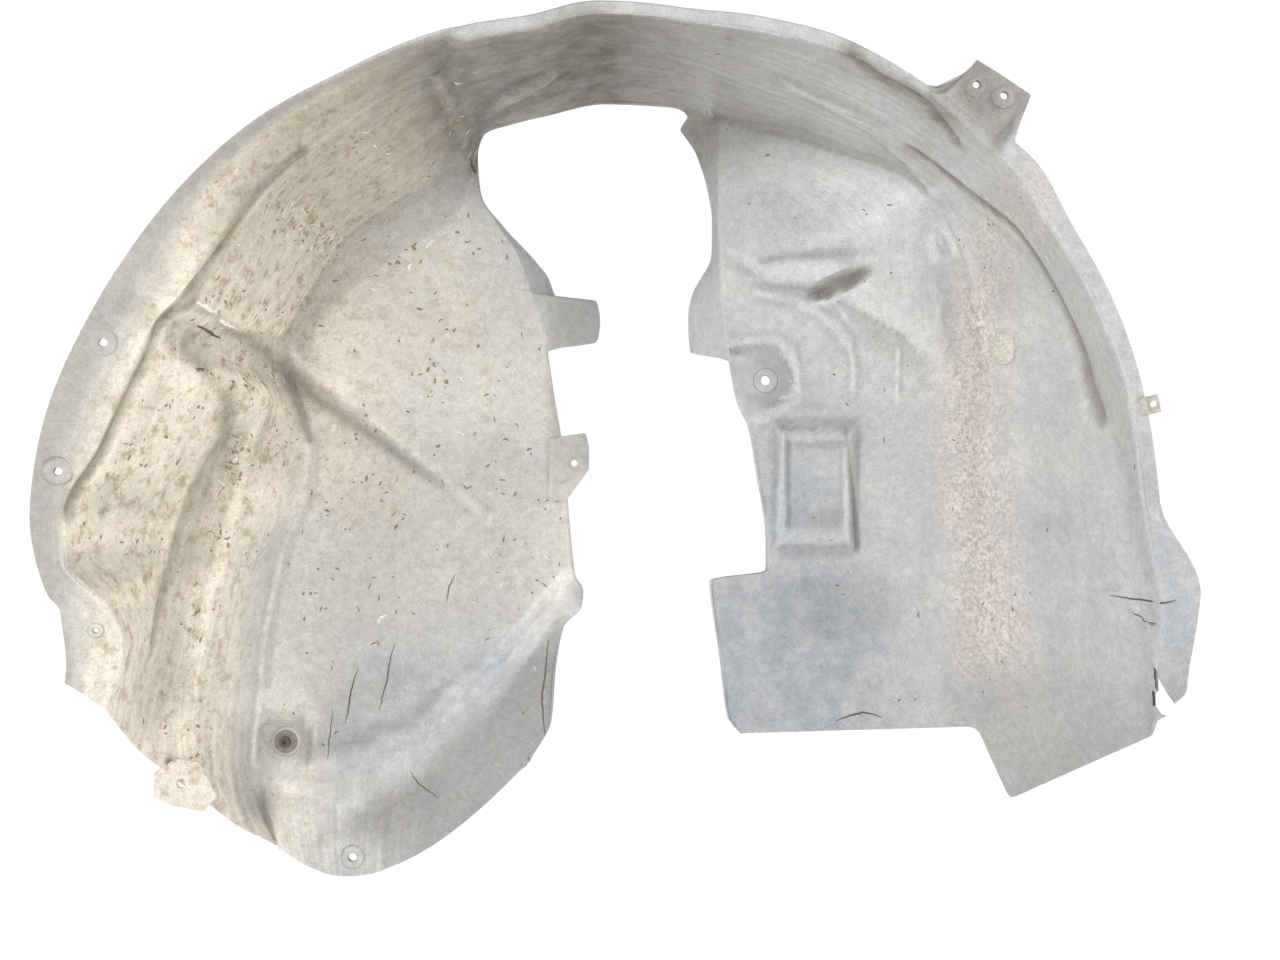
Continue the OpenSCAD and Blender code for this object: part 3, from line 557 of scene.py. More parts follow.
def mounted(name, proud):
    """Front end of a mount's bore, less what stands proud there, its direction and its bore."""
    mount = next(m for m in frame["record"]["mounts"] if m["name"] == name)
    n, size = np.array(mount["axis"], float), mount["dims"]
    n *= np.sign(n[1])
    place = np.array(mount["pos_m"]) * 1000 + DATUM - n * (size["length_mm"] / 2 - proud)
    return place, n, 2 * size["r_mm"]


# How far a ring stands proud of the sheet, and the points round a ring and round a tab.
RING_PROUD = 1.0
RING_TURNS = 48
PLATE_TURNS = 96
# The sheet is open under this share of a ring's width, down to this depth on either side of its place.
RING_COVER = 0.45
RING_DEPTH = 14
# Fixing holes: place on the front of the sheet, direction away from the wheel, bore, ring width.
HOLES = [
    (DATUM, [0, 1, 0], 9.5, 6),
    *((*mounted(name, RING_PROUD), width) for name, width in (
        ("flange_hole_upper", 6), ("flange_hole_lower", 6), ("locating_hole", 3), ("foot_hole", 6))),
    ([-306.207, POCKET_FLOOR, -211.238], [0, 1, 0], 14.24, 6),
    ([358.024, 147.506, 157.162], [0.8616, 0.478, 0.1709], 8.6, 11),
    *((*mounted(name, RING_PROUD), 3) for name in ("lug_hole_upper", "lug_hole_lower")),
]
# Painted shade on each row of a ring's profile, from its outer foot round to the back: dark at the foot where
# the collar meets the sheet and down the wall of the bore.
RING_SHADE = [0.7, 0.9, 0.4, 0, 0, 0.3, 1, 1, 1, 0, 0, 0]


def tube_quads(rows, turns):
    """Faces of a closed profile carried round a closed path."""
    last, k = (rows - 1) * turns, np.arange(turns)
    close = np.stack([last + k, k, (k + 1) % turns, last + (k + 1) % turns], -1)
    return np.concatenate([grid_quads(rows, turns, wrap=True), close])


def ring(place, normal, bore, width):
    """A revolved collar: a soft outer slope, a flat face, the wall of the bore and a back face."""
    n, a, b = frame_at(normal)
    r, out = bore / 2, bore / 2 + width
    profile = np.array([
        [out + 3, 1.2], [out + 1.6, 0.2], [out + 0.5, 0.4 - RING_PROUD], [out - 0.4, -RING_PROUD],
        [r + 1.2, -RING_PROUD], [r + 0.35, 0.15 - RING_PROUD], [r, 0.5 - RING_PROUD], [r, 2.8],
        [r + 0.4, 3.2], [out, 3.2], [out + 1, 2.4], [out + 3, 1.6]])
    t = np.linspace(0, 2 * np.pi, RING_TURNS, endpoint=False)
    around = np.cos(t)[:, None] * a + np.sin(t)[:, None] * b
    points = (np.asarray(place, float) + profile[:, 1][:, None, None] * n
              + profile[:, 0][:, None, None] * around[None])
    return points.reshape(-1, 3), tube_quads(len(profile), RING_TURNS)


def plate(place, bore, outline, thick=4.0):
    """A flat tab round a hole.

    In every direction from the hole its rim lies where the ray first meets the outline's sides."""
    t = np.linspace(0, 2 * np.pi, PLATE_TURNS, endpoint=False)
    way = np.stack([np.cos(t), np.sin(t)], -1)
    a = np.asarray(outline, float) - np.array([place[0], place[2]])
    d = np.roll(a, -1, 0) - a
    across = way[:, 0, None] * d[None, :, 1] - way[:, 1, None] * d[None, :, 0]
    across = np.where(np.abs(across) < 1e-9, 1e-9, across)
    reach = (a[None, :, 0] * d[None, :, 1] - a[None, :, 1] * d[None, :, 0]) / across
    share = (a[None, :, 0] * way[:, 1, None] - a[None, :, 1] * way[:, 0, None]) / across
    rim = np.where((reach > 0) & (share > -1e-6) & (share < 1 + 1e-6), reach, 1e9).min(1)
    r = bore / 2
    profile = [(r, 0.4), (r + 0.4, 0), (rim - 0.6, 0), (rim, 0.6), (rim, thick - 0.6), (rim - 0.6, thick),
               (r + 0.4, thick), (r, thick - 0.4)]
    points = np.stack([np.stack([place[0] + way[:, 0] * radius, np.full(PLATE_TURNS, place[1] + depth),
                                 place[2] + way[:, 1] * radius], -1) for radius, depth in profile])
    return points.reshape(-1, 3), tube_quads(len(profile), PLATE_TURNS)


def outward(points, quads):
    """The same faces, all turned so that the closed form holds a volume above nought."""
    a, b, c = points[quads[:, 0]], points[quads[:, 1]], points[quads[:, 2]]
    d = points[quads[:, 3]]
    volume = (np.einsum("ij,ij->i", a, np.cross(b, c)) + np.einsum("ij,ij->i", a, np.cross(c, d))).sum()
    return quads if volume > 0 else quads[:, ::-1]


def joined(parts):
    """Several point and face pairs as one."""
    points, quads, start = [], [], 0
    for p, q in parts:
        points.append(p)
        quads.append(outward(p - p.mean(0), q) + start)
        start += len(p)
    return np.concatenate(points), np.concatenate(quads)


# Materials


def add(tree, kind, inputs=None, **settings):
    """Adds a node with its settings; an input is a value or the socket that feeds it."""
    made = tree.nodes.new(kind)
    for key, value in settings.items():
        setattr(made, key, value)
    for key, value in (inputs or {}).items():
        if isinstance(value, bpy.types.NodeSocket):
            tree.links.new(value, made.inputs[key])
        else:
            made.inputs[key].default_value = value
    return made


def new_material(name):
    """An empty material with a Principled shader, its tree and its shader."""
    made = bpy.data.materials.new(name)
    made.use_nodes = True
    made.node_tree.nodes.clear()
    shader = add(made.node_tree, "ShaderNodeBsdfPrincipled")
    add(made.node_tree, "ShaderNodeOutputMaterial", {"Surface": shader.outputs["BSDF"]})
    return made, made.node_tree, shader


# Patterns of the moulded plastic: size in millimetres, detail and roughness of the noise.
PATTERNS = {"broad": (110, 5, 0.6), "patch": (24, 6, 0.65), "blot": (13, 8, 0.75), "dapple": (7, 5, 0.75),
            "speck": (4, 3, 0.7), "grain": (1.1, 2, 0.6)}
SOIL_AND_SHADE_FIELDS = ("dirt", "grime_and_shade", "cool_tint_and_shade", "felt", "streak", "crease_light_and_dirt")
# Kinds of step in the look: the node, its inputs in order and its settings.
STEPS = {"range": ("ShaderNodeMapRange", ("Value", "From Min", "From Max", "To Min", "To Max"), {}),
         "times": ("ShaderNodeMath", (0, 1, 2), {"operation": "MULTIPLY_ADD"})}
# The look, step by step: name, kind and inputs. A word stands for the pattern, field or step of that name.
LOOK = (
    # Rubbed places, paler than the rest, give the dry bloom of old plastic.
    ("rubbed", "range", "patch", 0.42, 0.68), ("rubbed", "times", "rubbed", 0.34, 0.0),
    # Dust settles in broad patches and stays thickest on the left crown.
    ("dust", "times", "broad", 0.8, "dirt"), ("dust", "range", "dust", 0.35, 1.25),
    # Rough fibres, pinkish and mottled, over the band where the tyre throws its dirt.
    ("fibres", "range", "patch", 0.25, 0.55), ("fibres", "times", "felt", "fibres", 0.0),
    ("mottle", "range", "speck", 0.38, 0.62),
    # Dark dirt under the top of the crown and at the torn lip, with painted shade in the creases, on the
    # step's face, on the lug, in the dent under the bulge and round the collars.
    ("dark_dirt_and_shade", "range", "patch", 0.25, 0.6, 0.55, 1.0), ("dark_dirt_and_shade", "times", "grime_and_shade", "dark_dirt_and_shade", 0.0),
    # Blotches of brown dust with ragged edges, on the crown most of all.
    ("stain", "range", "blot", 0.5, 0.62), ("brown", "times", "dirt", 0.75, 0.06),
    ("stain", "times", "stain", "brown", 0.0),
    # Brown flecks of dried mud.
    ("mud", "range", "speck", 0.62, 0.74), ("thrown", "times", "dirt", 0.8, "felt"),
    ("thrown", "range", "thrown", 0.0, 1.0, 0.25, 0.8), ("mud", "times", "mud", "thrown", 0.0),
    # The moulded grain, darker and paler by turns.
    ("shade", "range", "grain", 0.25, 0.75, 0.8, 1.18), ("dapple", "range", "dapple", 0.3, 0.7, 0.86, 1.14),
    ("shade", "times", "shade", "dapple", 0.0),
    # Streaks along the arch, where the tyre's throw has run.
    ("streak", "times", "streak", 0.07, 1.0), ("shade", "times", "shade", "streak", 0.0),
    # Painted shade darkens the creases, and painted highlights pale the edges beside them, the slope along
    # the sill's edge, the upper right crown and the swelling; some dark dirt comes in the same way.
    ("crease_light_and_dirt", "times", "crease_light_and_dirt", -0.2, 1.0), ("shade", "times", "shade", "crease_light_and_dirt", 0.0),
    # Matt everywhere, and mattest where the dust lies.
    ("rough", "range", "patch", 0.2, 0.8, 0.5, 0.92),
    # Dust and fibres stand a little proud of the grain.
    ("height", "times", "dirt", 0.5, "felt"), ("height", "range", "height", 0, 1, 0.5, 4.0),
    ("height", "times", "speck", "height", "grain"), ("height", "times", "patch", 3.0, "height"),
)


def moulded_polypropylene(colours):
    """Moulded polypropylene, left out in the weather: a matt pale grey with road dust, a fine moulded grain
    of about 1 mm, rubbed whiter patches, a band of rough fibres, dark dirt with painted shade in its
    creases, and painted highlights on the edges beside them."""
    made, tree, shader = new_material("moulded polypropylene, weathered, painted shade")
    place = add(tree, "ShaderNodeTexCoord").outputs["Object"]
    sockets = {}
    for name, (size, detail, rough) in PATTERNS.items():
        inputs = {"Vector": place, "Scale": 1000 / size, "Detail": detail, "Roughness": rough}
        sockets[name] = add(tree, "ShaderNodeTexNoise", inputs).outputs["Fac"]
    for name in SOIL_AND_SHADE_FIELDS:
        sockets[name] = add(tree, "ShaderNodeAttribute", attribute_name=name).outputs["Fac"]
    for name, kind, *values in LOOK:
        node, keys, options = STEPS[kind]
        inputs = {key: sockets.get(value, value) for key, value in zip(keys, values)}
        sockets[name] = add(tree, node, inputs, **options).outputs[0]
    mottled = add(tree, "ShaderNodeMix", {"Factor": sockets["mottle"], "A": rgba("#b0a299"),
                                          "B": rgba("#dfd6cf")}, data_type="RGBA").outputs["Result"]
    colour = [*colours.plastic, 1]
    for share, coat in (
            ("cool_tint_and_shade", rgba("#a0a4aa")), ("rubbed", rgba("#d6d5d2")), ("dust", [*colours.dust, 1]),
            ("fibres", mottled), ("dark_dirt_and_shade", [*colours.grime_and_shade, 1]), ("stain", rgba("#a39478")),
            ("mud", rgba("#6a5947"))):
        colour = add(tree, "ShaderNodeMix", {"Factor": sockets[share], "A": colour, "B": coat},
                     data_type="RGBA").outputs["Result"]
    colour = add(tree, "ShaderNodeVectorMath", {0: colour, 1: sockets["shade"]}, operation="MULTIPLY")
    bump = add(tree, "ShaderNodeBump", {"Height": sockets["height"], "Strength": 0.6, "Distance": 0.0007})
    tree.links.new(colour.outputs["Vector"], shader.inputs["Base Color"])
    tree.links.new(sockets["rough"], shader.inputs["Roughness"])
    tree.links.new(bump.outputs["Normal"], shader.inputs["Normal"])
    shader.inputs["IOR"].default_value = 1.49
    return made


def plain_finish(name, code, rough, metallic=0.0):
    """A small part's finish: one colour that noise of 2.5 mm, the size of the dirt, lightens and darkens."""
    made, tree, shader = new_material(name)
    place = add(tree, "ShaderNodeTexCoord").outputs["Object"]
    speck = add(tree, "ShaderNodeTexNoise", {"Vector": place, "Scale": 1000 / 2.5, "Detail": 4.0,
                                             "Roughness": 0.7})
    shade = add(tree, "ShaderNodeMapRange", {"Value": speck.outputs["Fac"], "From Min": 0.3, "From Max": 0.7,
                                             "To Min": 0.6, "To Max": 1.2})
    colour = add(tree, "ShaderNodeVectorMath", {0: rgb(code), 1: shade.outputs["Result"]},
                 operation="MULTIPLY")
    tree.links.new(colour.outputs["Vector"], shader.inputs["Base Color"])
    shader.inputs["Roughness"].default_value = rough
    shader.inputs["Metallic"].default_value = metallic
    bump = add(tree, "ShaderNodeBump", {"Height": speck.outputs["Fac"], "Strength": 0.4, "Distance": 0.0003})
    tree.links.new(bump.outputs["Normal"], shader.inputs["Normal"])
    return made


# Settings, operators and panel


class LinerSettings(PropertyGroup):
    """The sizes and colours that a user would change."""
    camera_distance: FloatProperty(
        name="Camera distance", description="From the camera to the outer edge of the arch", default=0.94,
        min=0.3, unit="LENGTH", subtype="DISTANCE")
    lens: FloatProperty(
        name="Lens", description="Focal length on a 36 mm sensor", default=34.37, min=10, max=200,
        unit="CAMERA")
    plastic: FloatVectorProperty(
        name="Plastic", description="Colour of the bare moulded plastic", subtype="COLOR",
        default=rgb("#babbbc"), min=0, max=1)
    dust: FloatVectorProperty(
        name="Dust", description="Colour of the dry road dust", subtype="COLOR", default=rgb("#d9cfbe"),
        min=0, max=1)
    # The colour of the dark dirt, which also paints shade in creases, on faces turned from the light and in
    # the bores.
    grime_and_shade: FloatVectorProperty(
        name="Grime", description="Colour of the dark, old dirt", subtype="COLOR", default=rgb("#7d766b"),
        min=0, max=1)


def soil_and_shade(points):
    """Where dust, dark dirt with painted shade, cool bluish plastic with painted shade, and rough fibres lie,
    each from nought to one.
    """
    x, y, z = (points[..., k] for k in range(3))
    angle, r = polar(x, z)
    left = between(98, 122, 225, 262, angle)
    crown = ease(225, 160, y) * ease(2, 20, y)
    dust = left * (0.3 + 0.7 * ease(3, 16, y)) * (
        0.32 + 0.5 * crown + 0.22 * ease(-60, 60, z) * ease(-120, -260, x)
        - 0.25 * ease(-40, -150, z) * ease(-290, -240, x))
    top = (0.1 + 0.75 * ease(64, 92, angle)) * between(52, 66, 118, 155, angle)
    top = top * (1 - 0.5 * ease(108, 122, angle)) * ease(340, 385, r) * ease(2, 12, y)
    right_crown = between(-20, 20, 45, 75, angle) * ease(345, 385, r) * between(4, 16, 90, 150, y)
    opening_corner = np.exp(-np.hypot(x + 124, z - 336) / 12)
    # The dent under the bulge's nose gets a painted shadow.
    dent = oval(x, z, (219, 222), (32, 9), 22)
    wall_top = ease(40, 0, np.abs(x - 88)) * ease(300, 345, z) * ease(215, 232, y)
    torn_lip = between(46, 50, 61, 66, angle) * between(2, 8, 30, 65, y)
    lower_right = ease(300, 380, x) * ease(-60, -200, z)
    opening_tab = between(-60, -45, 0, 20, x) * ease(30, 60, z)
    below = below_sill(x, z)
    lowest = ease(24, 44, below) * between(-250, -190, -40, -20, x) * ease(200, 215, y)
    t, n, w = shoulder_place(x, z)
    # The face of the step below the shoulder and the lug's face get painted shade, in the dark colour and in
    # the cool one.
    facet = ease(-w - 3, -w + 3, n) * ease(1, -3, n) * between(0.0, 0.15, 0.85, 1.1, t) * ease(190, 215, y)
    lug = between(43, 45, 52, 54, angle) * ease(ARCH_R + 8, ARCH_R + 16, r)
    # Dark dirt under the crown's top and elsewhere, with painted shade on the step's face, the lug and the
    # dent.
    grime_and_shade = (top + 0.1 * right_crown + 0.7 * opening_corner + 0.7 * dent + 0.35 * wall_top + 0.4 * facet
             + 0.5 * lowest + 0.8 * lug + 0.5 * left * ease(14, 4, y) + 0.4 * torn_lip + 0.4 * lower_right
             + 0.35 * opening_tab)
    # Painted shade, with some dirt, along the creases and grooves.
    grime_and_shade = grime_and_shade + sum(share * line_share(x, y, z, name, fade) for name, (share, fade) in SHADE_AND_DIRT_LINES.items())
    right_wall = ease(60, 130, x) * (0.75 * ease(280, 180, x) * ease(240, 60, z)
                                     + 0.9 * ease(330, 230, x) * ease(-20, -130, z))
    # The cool colour is the plastic's own bluish tone on the right wall and the lower panels, and painted
    # shade on the step's face, the lug and the valley.
    cool_tint_and_shade = (right_wall + 0.35 * between(-160, -80, -40, 60, x) * ease(130, 50, z)
            + 1.2 * ease(-70, -180, z) * between(-310, -255, -60, 60, x)
            + 0.5 * ease(300, 400, x) * ease(120, 0, z) + 0.8 * facet + 0.8 * lug
            + 0.6 * line_share(x, y, z, "valley", 13))
    felt = ease(0, 38, x - 306 + 8 * np.sin(z / 60)) * ease(0, 36, 388 - 0.1 * z - x)
    felt = felt * between(-175, -110, 262, 318, z)
    return {"dirt": np.clip(dust, 0, 1), "grime_and_shade": np.clip(grime_and_shade, 0, 1),
            "cool_tint_and_shade": np.clip(cool_tint_and_shade, 0, 1) * (1 - felt), "felt": felt}


def streaks(front, rng):
    """Streaks that run along the arch on the crown: random values, blurred far along and little across."""
    y = front[..., 1]
    angle, r = polar(front[..., 0], front[..., 2])
    field = blurred(blurred(rng.normal(0, 1, y.shape), 0, 12), 0, 6) * 4
    field = field + blurred(blurred(rng.normal(0, 1, y.shape), 0, 3), 1, 1)
    field = field * (0.2 + 0.8 * ease(25, 70, np.where(angle > 300, 0, angle)))
    return np.clip(field, -1.6, 1.6) * ease(2, 14, y) * (0.08 + 0.92 * ease(225, 195, y) * ease(300, 340, r))


def dirt_and_painted_highlights(front):
    """Dark dirt, above nought, and painted highlights, below nought: on the slope along the sill's edge, on
    the upper right crown and on the swelling near the crown's top.
    """
    x, y, z = (front[..., k] for k in range(3))
    angle, r = polar(x, z)
    crown, below = ease(10, 30, y), below_sill(x, z)
    sill_edge = between(-16, -2, 12, 26, below) * between(-338, -300, -40, -20, x) * ease(200, 215, y)
    right_top = between(38, 50, 62, 76, angle) * crown * ease(335, 375, r)
    left_crown = between(76, 90, 140, 158, angle) * crown * ease(225, 195, y)
    # Dark dirt on the flange's inner edge, on the left crown and in three patches; painted highlights on the
    # lit slope along the sill's edge, on the upper right crown and on the swelling.
    return (0.45 * ease(14, 4, y) + 0.75 * left_crown + 0.5 * oval(x, z, (-312, 84), (50, 24), 75)
            + 0.5 * oval(x, z, (-165, -15), (135, 110), 40) + 0.6 * oval(x, z, (225, -78), (70, 45), 0)
            - 2.4 * sill_edge - 0.85 * right_top - 1.2 * swelling(x, y, z))


def painted_crease_light(front, n):
    """How far each point lies behind the mean of its neighbours, above nought in creases and below it on
    edges: painted shade in the creases and painted highlights on the edges, with the dark dirt and the
    painted highlights of the function above added."""
    mean = blurred(blurred(front, 0, 2), 1, 2)
    depth = ((front - mean) * n).sum(-1)
    depth[:, :4] = depth[:, -6:] = depth[:3] = depth[-3:] = 0
    soft = 1 - 0.75 * ease(270, 310, front[..., 0]) * ease(150, 215, front[..., 1])
    return np.clip(blurred(depth, 0, 1) / 0.45, -0.6, 1) * soft + dirt_and_painted_highlights(front)


def on_sheet(front, x, z):
    """Points and normals of the front skin under places in the front view.

    Each place takes the tangent plane of the grid point nearest to it. They are taken in groups of about 50,
    to spare memory."""
    flat, n = front.reshape(-1, 3), normals(front).reshape(-1, 3)
    near = np.concatenate([
        np.argmin((flat[:, 0] - a[:, None]) ** 2 + (flat[:, 2] - b[:, None]) ** 2, 1)
        for a, b in zip(*(np.array_split(part, len(x) // 50 + 1) for part in (x, z)))])
    q, m = flat[near], n[near]
    slope = np.where(np.abs(m[:, 1]) > 0.12, m[:, 1], 9)
    y = q[:, 1] - (m[:, 0] * (x - q[:, 0]) + m[:, 2] * (z - q[:, 2])) / slope
    return np.stack([x, y, z], -1), m


def bands(spots, n, widths, lift):
    """Thin bands along rows of points on the sheet: three points across, the middle one raised."""
    rows, steps = spots.shape[:2]
    side = unit(np.cross(np.gradient(spots, axis=1), n))
    taper = 0.25 + 0.75 * np.sin(np.pi * np.linspace(0.04, 0.96, steps))
    half = side * (widths[:, None] * taper / 2)[..., None]
    points = np.stack([spots - half - n * 0.1, spots - n * lift, spots + half - n * 0.1], 2)
    k = (np.arange(rows)[:, None] * steps + np.arange(steps - 1)[None]).ravel() * 3
    quads = np.concatenate([np.stack([k + c, k + c + 3, k + c + 4, k + c + 1], -1) for c in (0, 1)])
    return points.reshape(-1, 3), quads


def marks(front, lines, rng, steps=28):
    """Bands along lines in the front view, each wavering by a running sum of small random steps."""
    x, z = np.empty((len(lines), steps)), np.empty((len(lines), steps))
    for row, (points, _) in enumerate(lines):
        p = np.asarray(points, float)
        run = np.concatenate([[0], np.cumsum(np.hypot(*np.diff(p, axis=0).T))])
        t = np.linspace(0, run[-1], steps)
        x[row], z[row] = np.interp(t, run, p[:, 0]), np.interp(t, run, p[:, 1])
    x += np.cumsum(rng.normal(0, 0.3, x.shape), 1)
    z += np.cumsum(rng.normal(0, 0.3, x.shape), 1)
    spots, n = on_sheet(front, x.ravel(), z.ravel())
    return bands(spots.reshape(*x.shape, 3), n.reshape(*x.shape, 3), np.array([w for _, w in lines]), 0.25)


def strewn(front, weight, count, reach, width, rng, steps=5):
    """Short curved bands that lie on the sheet at random places, more of them where the weight is high.

    Each is an arc in the plane that touches the sheet at its place."""
    flat, n = front.reshape(-1, 3), normals(front).reshape(-1, 3)
    at = rng.choice(len(flat), count, p=weight / weight.sum())
    m = n[at]
    a = unit(np.cross(m, [0.3, 0.2, 0.9]))
    b = np.cross(m, a)
    turn, bend = rng.uniform(0, 2 * np.pi, count), rng.normal(0, 0.5, count)
    run = reach * rng.uniform(0.4, 1.7, count)
    t = np.linspace(-0.5, 0.5, steps)
    angle = turn[:, None] + bend[:, None] * t[None]
    u, v = run[:, None] * t * np.cos(angle), run[:, None] * t * np.sin(angle)
    spots = flat[at][:, None] + u[..., None] * a[:, None] + v[..., None] * b[:, None]
    return bands(spots, np.broadcast_to(m[:, None], spots.shape), width * rng.uniform(0.4, 1.4, count), 0.35)


def cut_sheet(name, points, fields, faces, material):
    """A skin of the sheet with its slot cut and the attributes of its dirt and painted shade."""
    data, faces = slotted(np.hstack([points, np.stack(list(fields.values()), 1)]), faces)
    return mesh_object(name, data[:, :3], faces, material, zip(fields, data[:, 3:].T), 50)


def front_sheet(front, fields, material):
    """The front skin, with a rim one wall thick along its border."""
    rows, columns = front.shape[:2]
    n = normals(front).reshape(-1, 3)
    border = np.concatenate([
        np.arange(columns), np.arange(1, rows) * columns + columns - 1,
        (rows - 1) * columns + np.arange(columns - 2, -1, -1), np.arange(rows - 2, 0, -1) * columns])
    flat, k = front.reshape(-1, 3), np.arange(len(border))
    m = (k + 1) % len(border)
    sides = np.stack([border[k], border[m], len(flat) + m, len(flat) + k], -1)
    faces = np.concatenate([pierced(front, grid_quads(rows, columns)[:, ::-1]), sides])
    points = np.concatenate([flat, flat[border] + n[border] * WALL_T])
    fields = {name: np.concatenate([value.ravel(), value.ravel()[border]]) for name, value in fields.items()}
    obj = cut_sheet("moulded_sheet", points, fields, faces, material)
    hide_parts("liner_shell")


def back_sheet(material):
    """The back skin, one wall thick behind a coarser front skin, with less dirt and painted shade than it."""
    skin = front_skin(BACK_ROWS, BACK_FILL)
    back = skin + normals(skin) * WALL_T
    fields = {name: value.ravel() * 0.4 for name, value in soil_and_shade(skin).items()}
    cut_sheet("sheet_back", back.reshape(-1, 3), fields, pierced(skin, grid_quads(*back.shape[:2])), material)


class LINER_OT_sheet(Operator):
    """Makes the moulded sheet in place of the plain CAD sheet, with its cracks, chips and loose dirt."""
    bl_idname = "liner.sheet"
    bl_label = "Moulded sheet"

    def execute(self, context):
        material = moulded_polypropylene(context.scene.liner)
        front = front_skin(FRONT_ROWS, FRONT_FILL)
        dirt = soil_and_shade(front)
        rng = np.random.default_rng(3)
        marked = {"streak": streaks(front, rng), "crease_light_and_dirt": painted_crease_light(front, normals(front))}
        front_sheet(front, dirt | marked, material)
        back_sheet(material)

        rng = np.random.default_rng(7)
        # A torn edge shows the darker, dirty inside of the plastic, and a fresh chip its clean pale inside.
        for name, lines, finish in (
                ("cracks", CRACKS, plain_finish("polypropylene, torn edge", "#655b52", 0.9)),
                ("chips", CHIPS, plain_finish("polypropylene, fresh chips", "#ece7dc", 0.8))):
            mesh_object(name, *marks(front, lines, rng), finish)
        # Loose dirt lies in clumps, and none on the outer flange or close to an edge. It is dull and dry.
        x, z = front[..., 0], front[..., 2]
        inner = np.zeros(front.shape[:2])
        inner[4:-4, FRONT_FILL[0] + 12:-16] = 1
        clumps = np.sin(x / 17 + 2 * np.sin(z / 29)) * np.sin(z / 21 + 2 * np.sin(x / 37))
        inner *= 0.12 + ease(0.1, 0.7, clumps)
        for name, count, code, reach, width, dusty, felted in LOOSE_DIRT:
            weight = (dirt["dirt"] * dusty + dirt["felt"] * felted + 0.03) * inner
            band = strewn(front, weight.ravel(), count, reach, width, rng)
            mesh_object(name, *band, plain_finish(name.replace("_", " ") + ", dried road dirt", code, 0.9))
        return {"FINISHED"}


def pierced(front, faces):
    """The faces less those under the collars of the fixing holes."""
    centre = front.reshape(-1, 3)[faces].mean(1)
    keep = np.ones(len(faces), bool)
    for place, normal, bore, width in HOLES:
        n = np.asarray(normal, float)
        d = centre - np.asarray(place, float)
        h = d @ n
        near = np.linalg.norm(d - h[:, None] * n, axis=1) < bore / 2 + width * RING_COVER
        keep &= ~(near & (np.abs(h) < RING_DEPTH))
    return faces[keep]


def slotted(data, faces):
    """Cuts the slot: the faces near it are split into small ones, and those inside its outline go.

    The first three columns of the data are the places; the others are split in the same way."""
    a = np.array(SLOT, float)
    low, high = a.min(0) - SLOT_MARGIN, a.max(0) + SLOT_MARGIN
    x, y, z = data[faces, :3].mean(1).T
    corner = data[faces, :3]
    across = np.cross(corner[:, 2] - corner[:, 0], corner[:, 3] - corner[:, 1])
    near = (x > low[0]) & (x < high[0]) & (z > low[1]) & (z < high[1]) & (y < SLOT_DEPTH)
    near &= (np.abs(across[:, 1]) > 0.25 * np.linalg.norm(across, axis=1)) | (z < SLOT_MOUTH)
    v, u = np.meshgrid(*[np.linspace(0, 1, SLOT_SPLIT + 1)] * 2)
    share = np.stack([(1 - u) * (1 - v), u * (1 - v), u * v, (1 - u) * v], -1).reshape(-1, 4)
    fine = np.einsum("wk,fkc->fwc", share, data[faces[near]])
    first = len(data) + np.arange(len(fine))[:, None, None] * len(share)
    small = (grid_quads(SLOT_SPLIT + 1, SLOT_SPLIT + 1)[None] + first).reshape(-1, 4)
    data = np.concatenate([data, fine.reshape(-1, data.shape[1])])
    x, z = data[small, 0].mean(1)[:, None], data[small, 2].mean(1)[:, None]
    b = np.roll(a, -1, 0)
    above = (a[None, :, 1] > z) != (b[None, :, 1] > z)
    rise = np.where(a[:, 1] == b[:, 1], 1, b[:, 1] - a[:, 1])
    crossing = a[None, :, 0] + (z - a[None, :, 1]) * ((b - a)[:, 0] / rise)[None]
    gone = (above & (x < crossing)).sum(1) % 2 == 1
    return data, np.concatenate([faces[~near], small[~gone]])


class LINER_OT_collars(Operator):
    """Makes the raised collars round the fixing holes, and the tabs at the edges."""
    bl_idname = "liner.collars"
    bl_label = "Collars and tabs"

    def execute(self, context):
        material = bpy.data.materials["moulded polypropylene, weathered, painted shade"]
        parts = [ring(*hole) for hole in HOLES]
        for name, outline in (("corner_hole", CORNER_TAB), ("tab_hole", OPENING_TAB)):
            place, _, bore = mounted(name, 0)
            parts.append(plate(place, bore, outline))
        points, quads = joined(parts)
        fields = soil_and_shade(points)
        # The foot of each collar and the wall of its bore get painted shade.
        rings = np.tile(np.repeat(RING_SHADE, RING_TURNS), len(HOLES))
        fields["grime_and_shade"][:len(rings)] = np.maximum(fields["grime_and_shade"][:len(rings)], rings)
        mesh_object("collars_and_tabs", points, quads, material, fields.items())
        return {"FINISHED"}


class LINER_OT_fasteners(Operator):
    """Gives the fasteners their finishes."""
    bl_idname = "liner.fasteners"
    bl_label = "Fasteners"

    def execute(self, context):
        # Nylon is satin where it is clean, and the dust dulls it. Steel keeps a grey shine under its dirt.
        finishes = {
            "crown_rivet": plain_finish("nylon, moulded, dusty", "#c9c6ba", 0.6),
            "pocket_grommet": plain_finish("nylon, moulded, soiled", "#8f877e", 0.7),
            "pocket_screw": plain_finish("steel, worn zinc", "#6a6360", 0.55, 0.7),
            "edge_spring_nut": plain_finish("spring steel, zinc plated", "#b5b1a6", 0.42, 0.9),
        }
        for name, material in finishes.items():
            obj = frame["nodes"][name]
            obj.data.materials.clear()
            obj.data.materials.append(material)
        return {"FINISHED"}


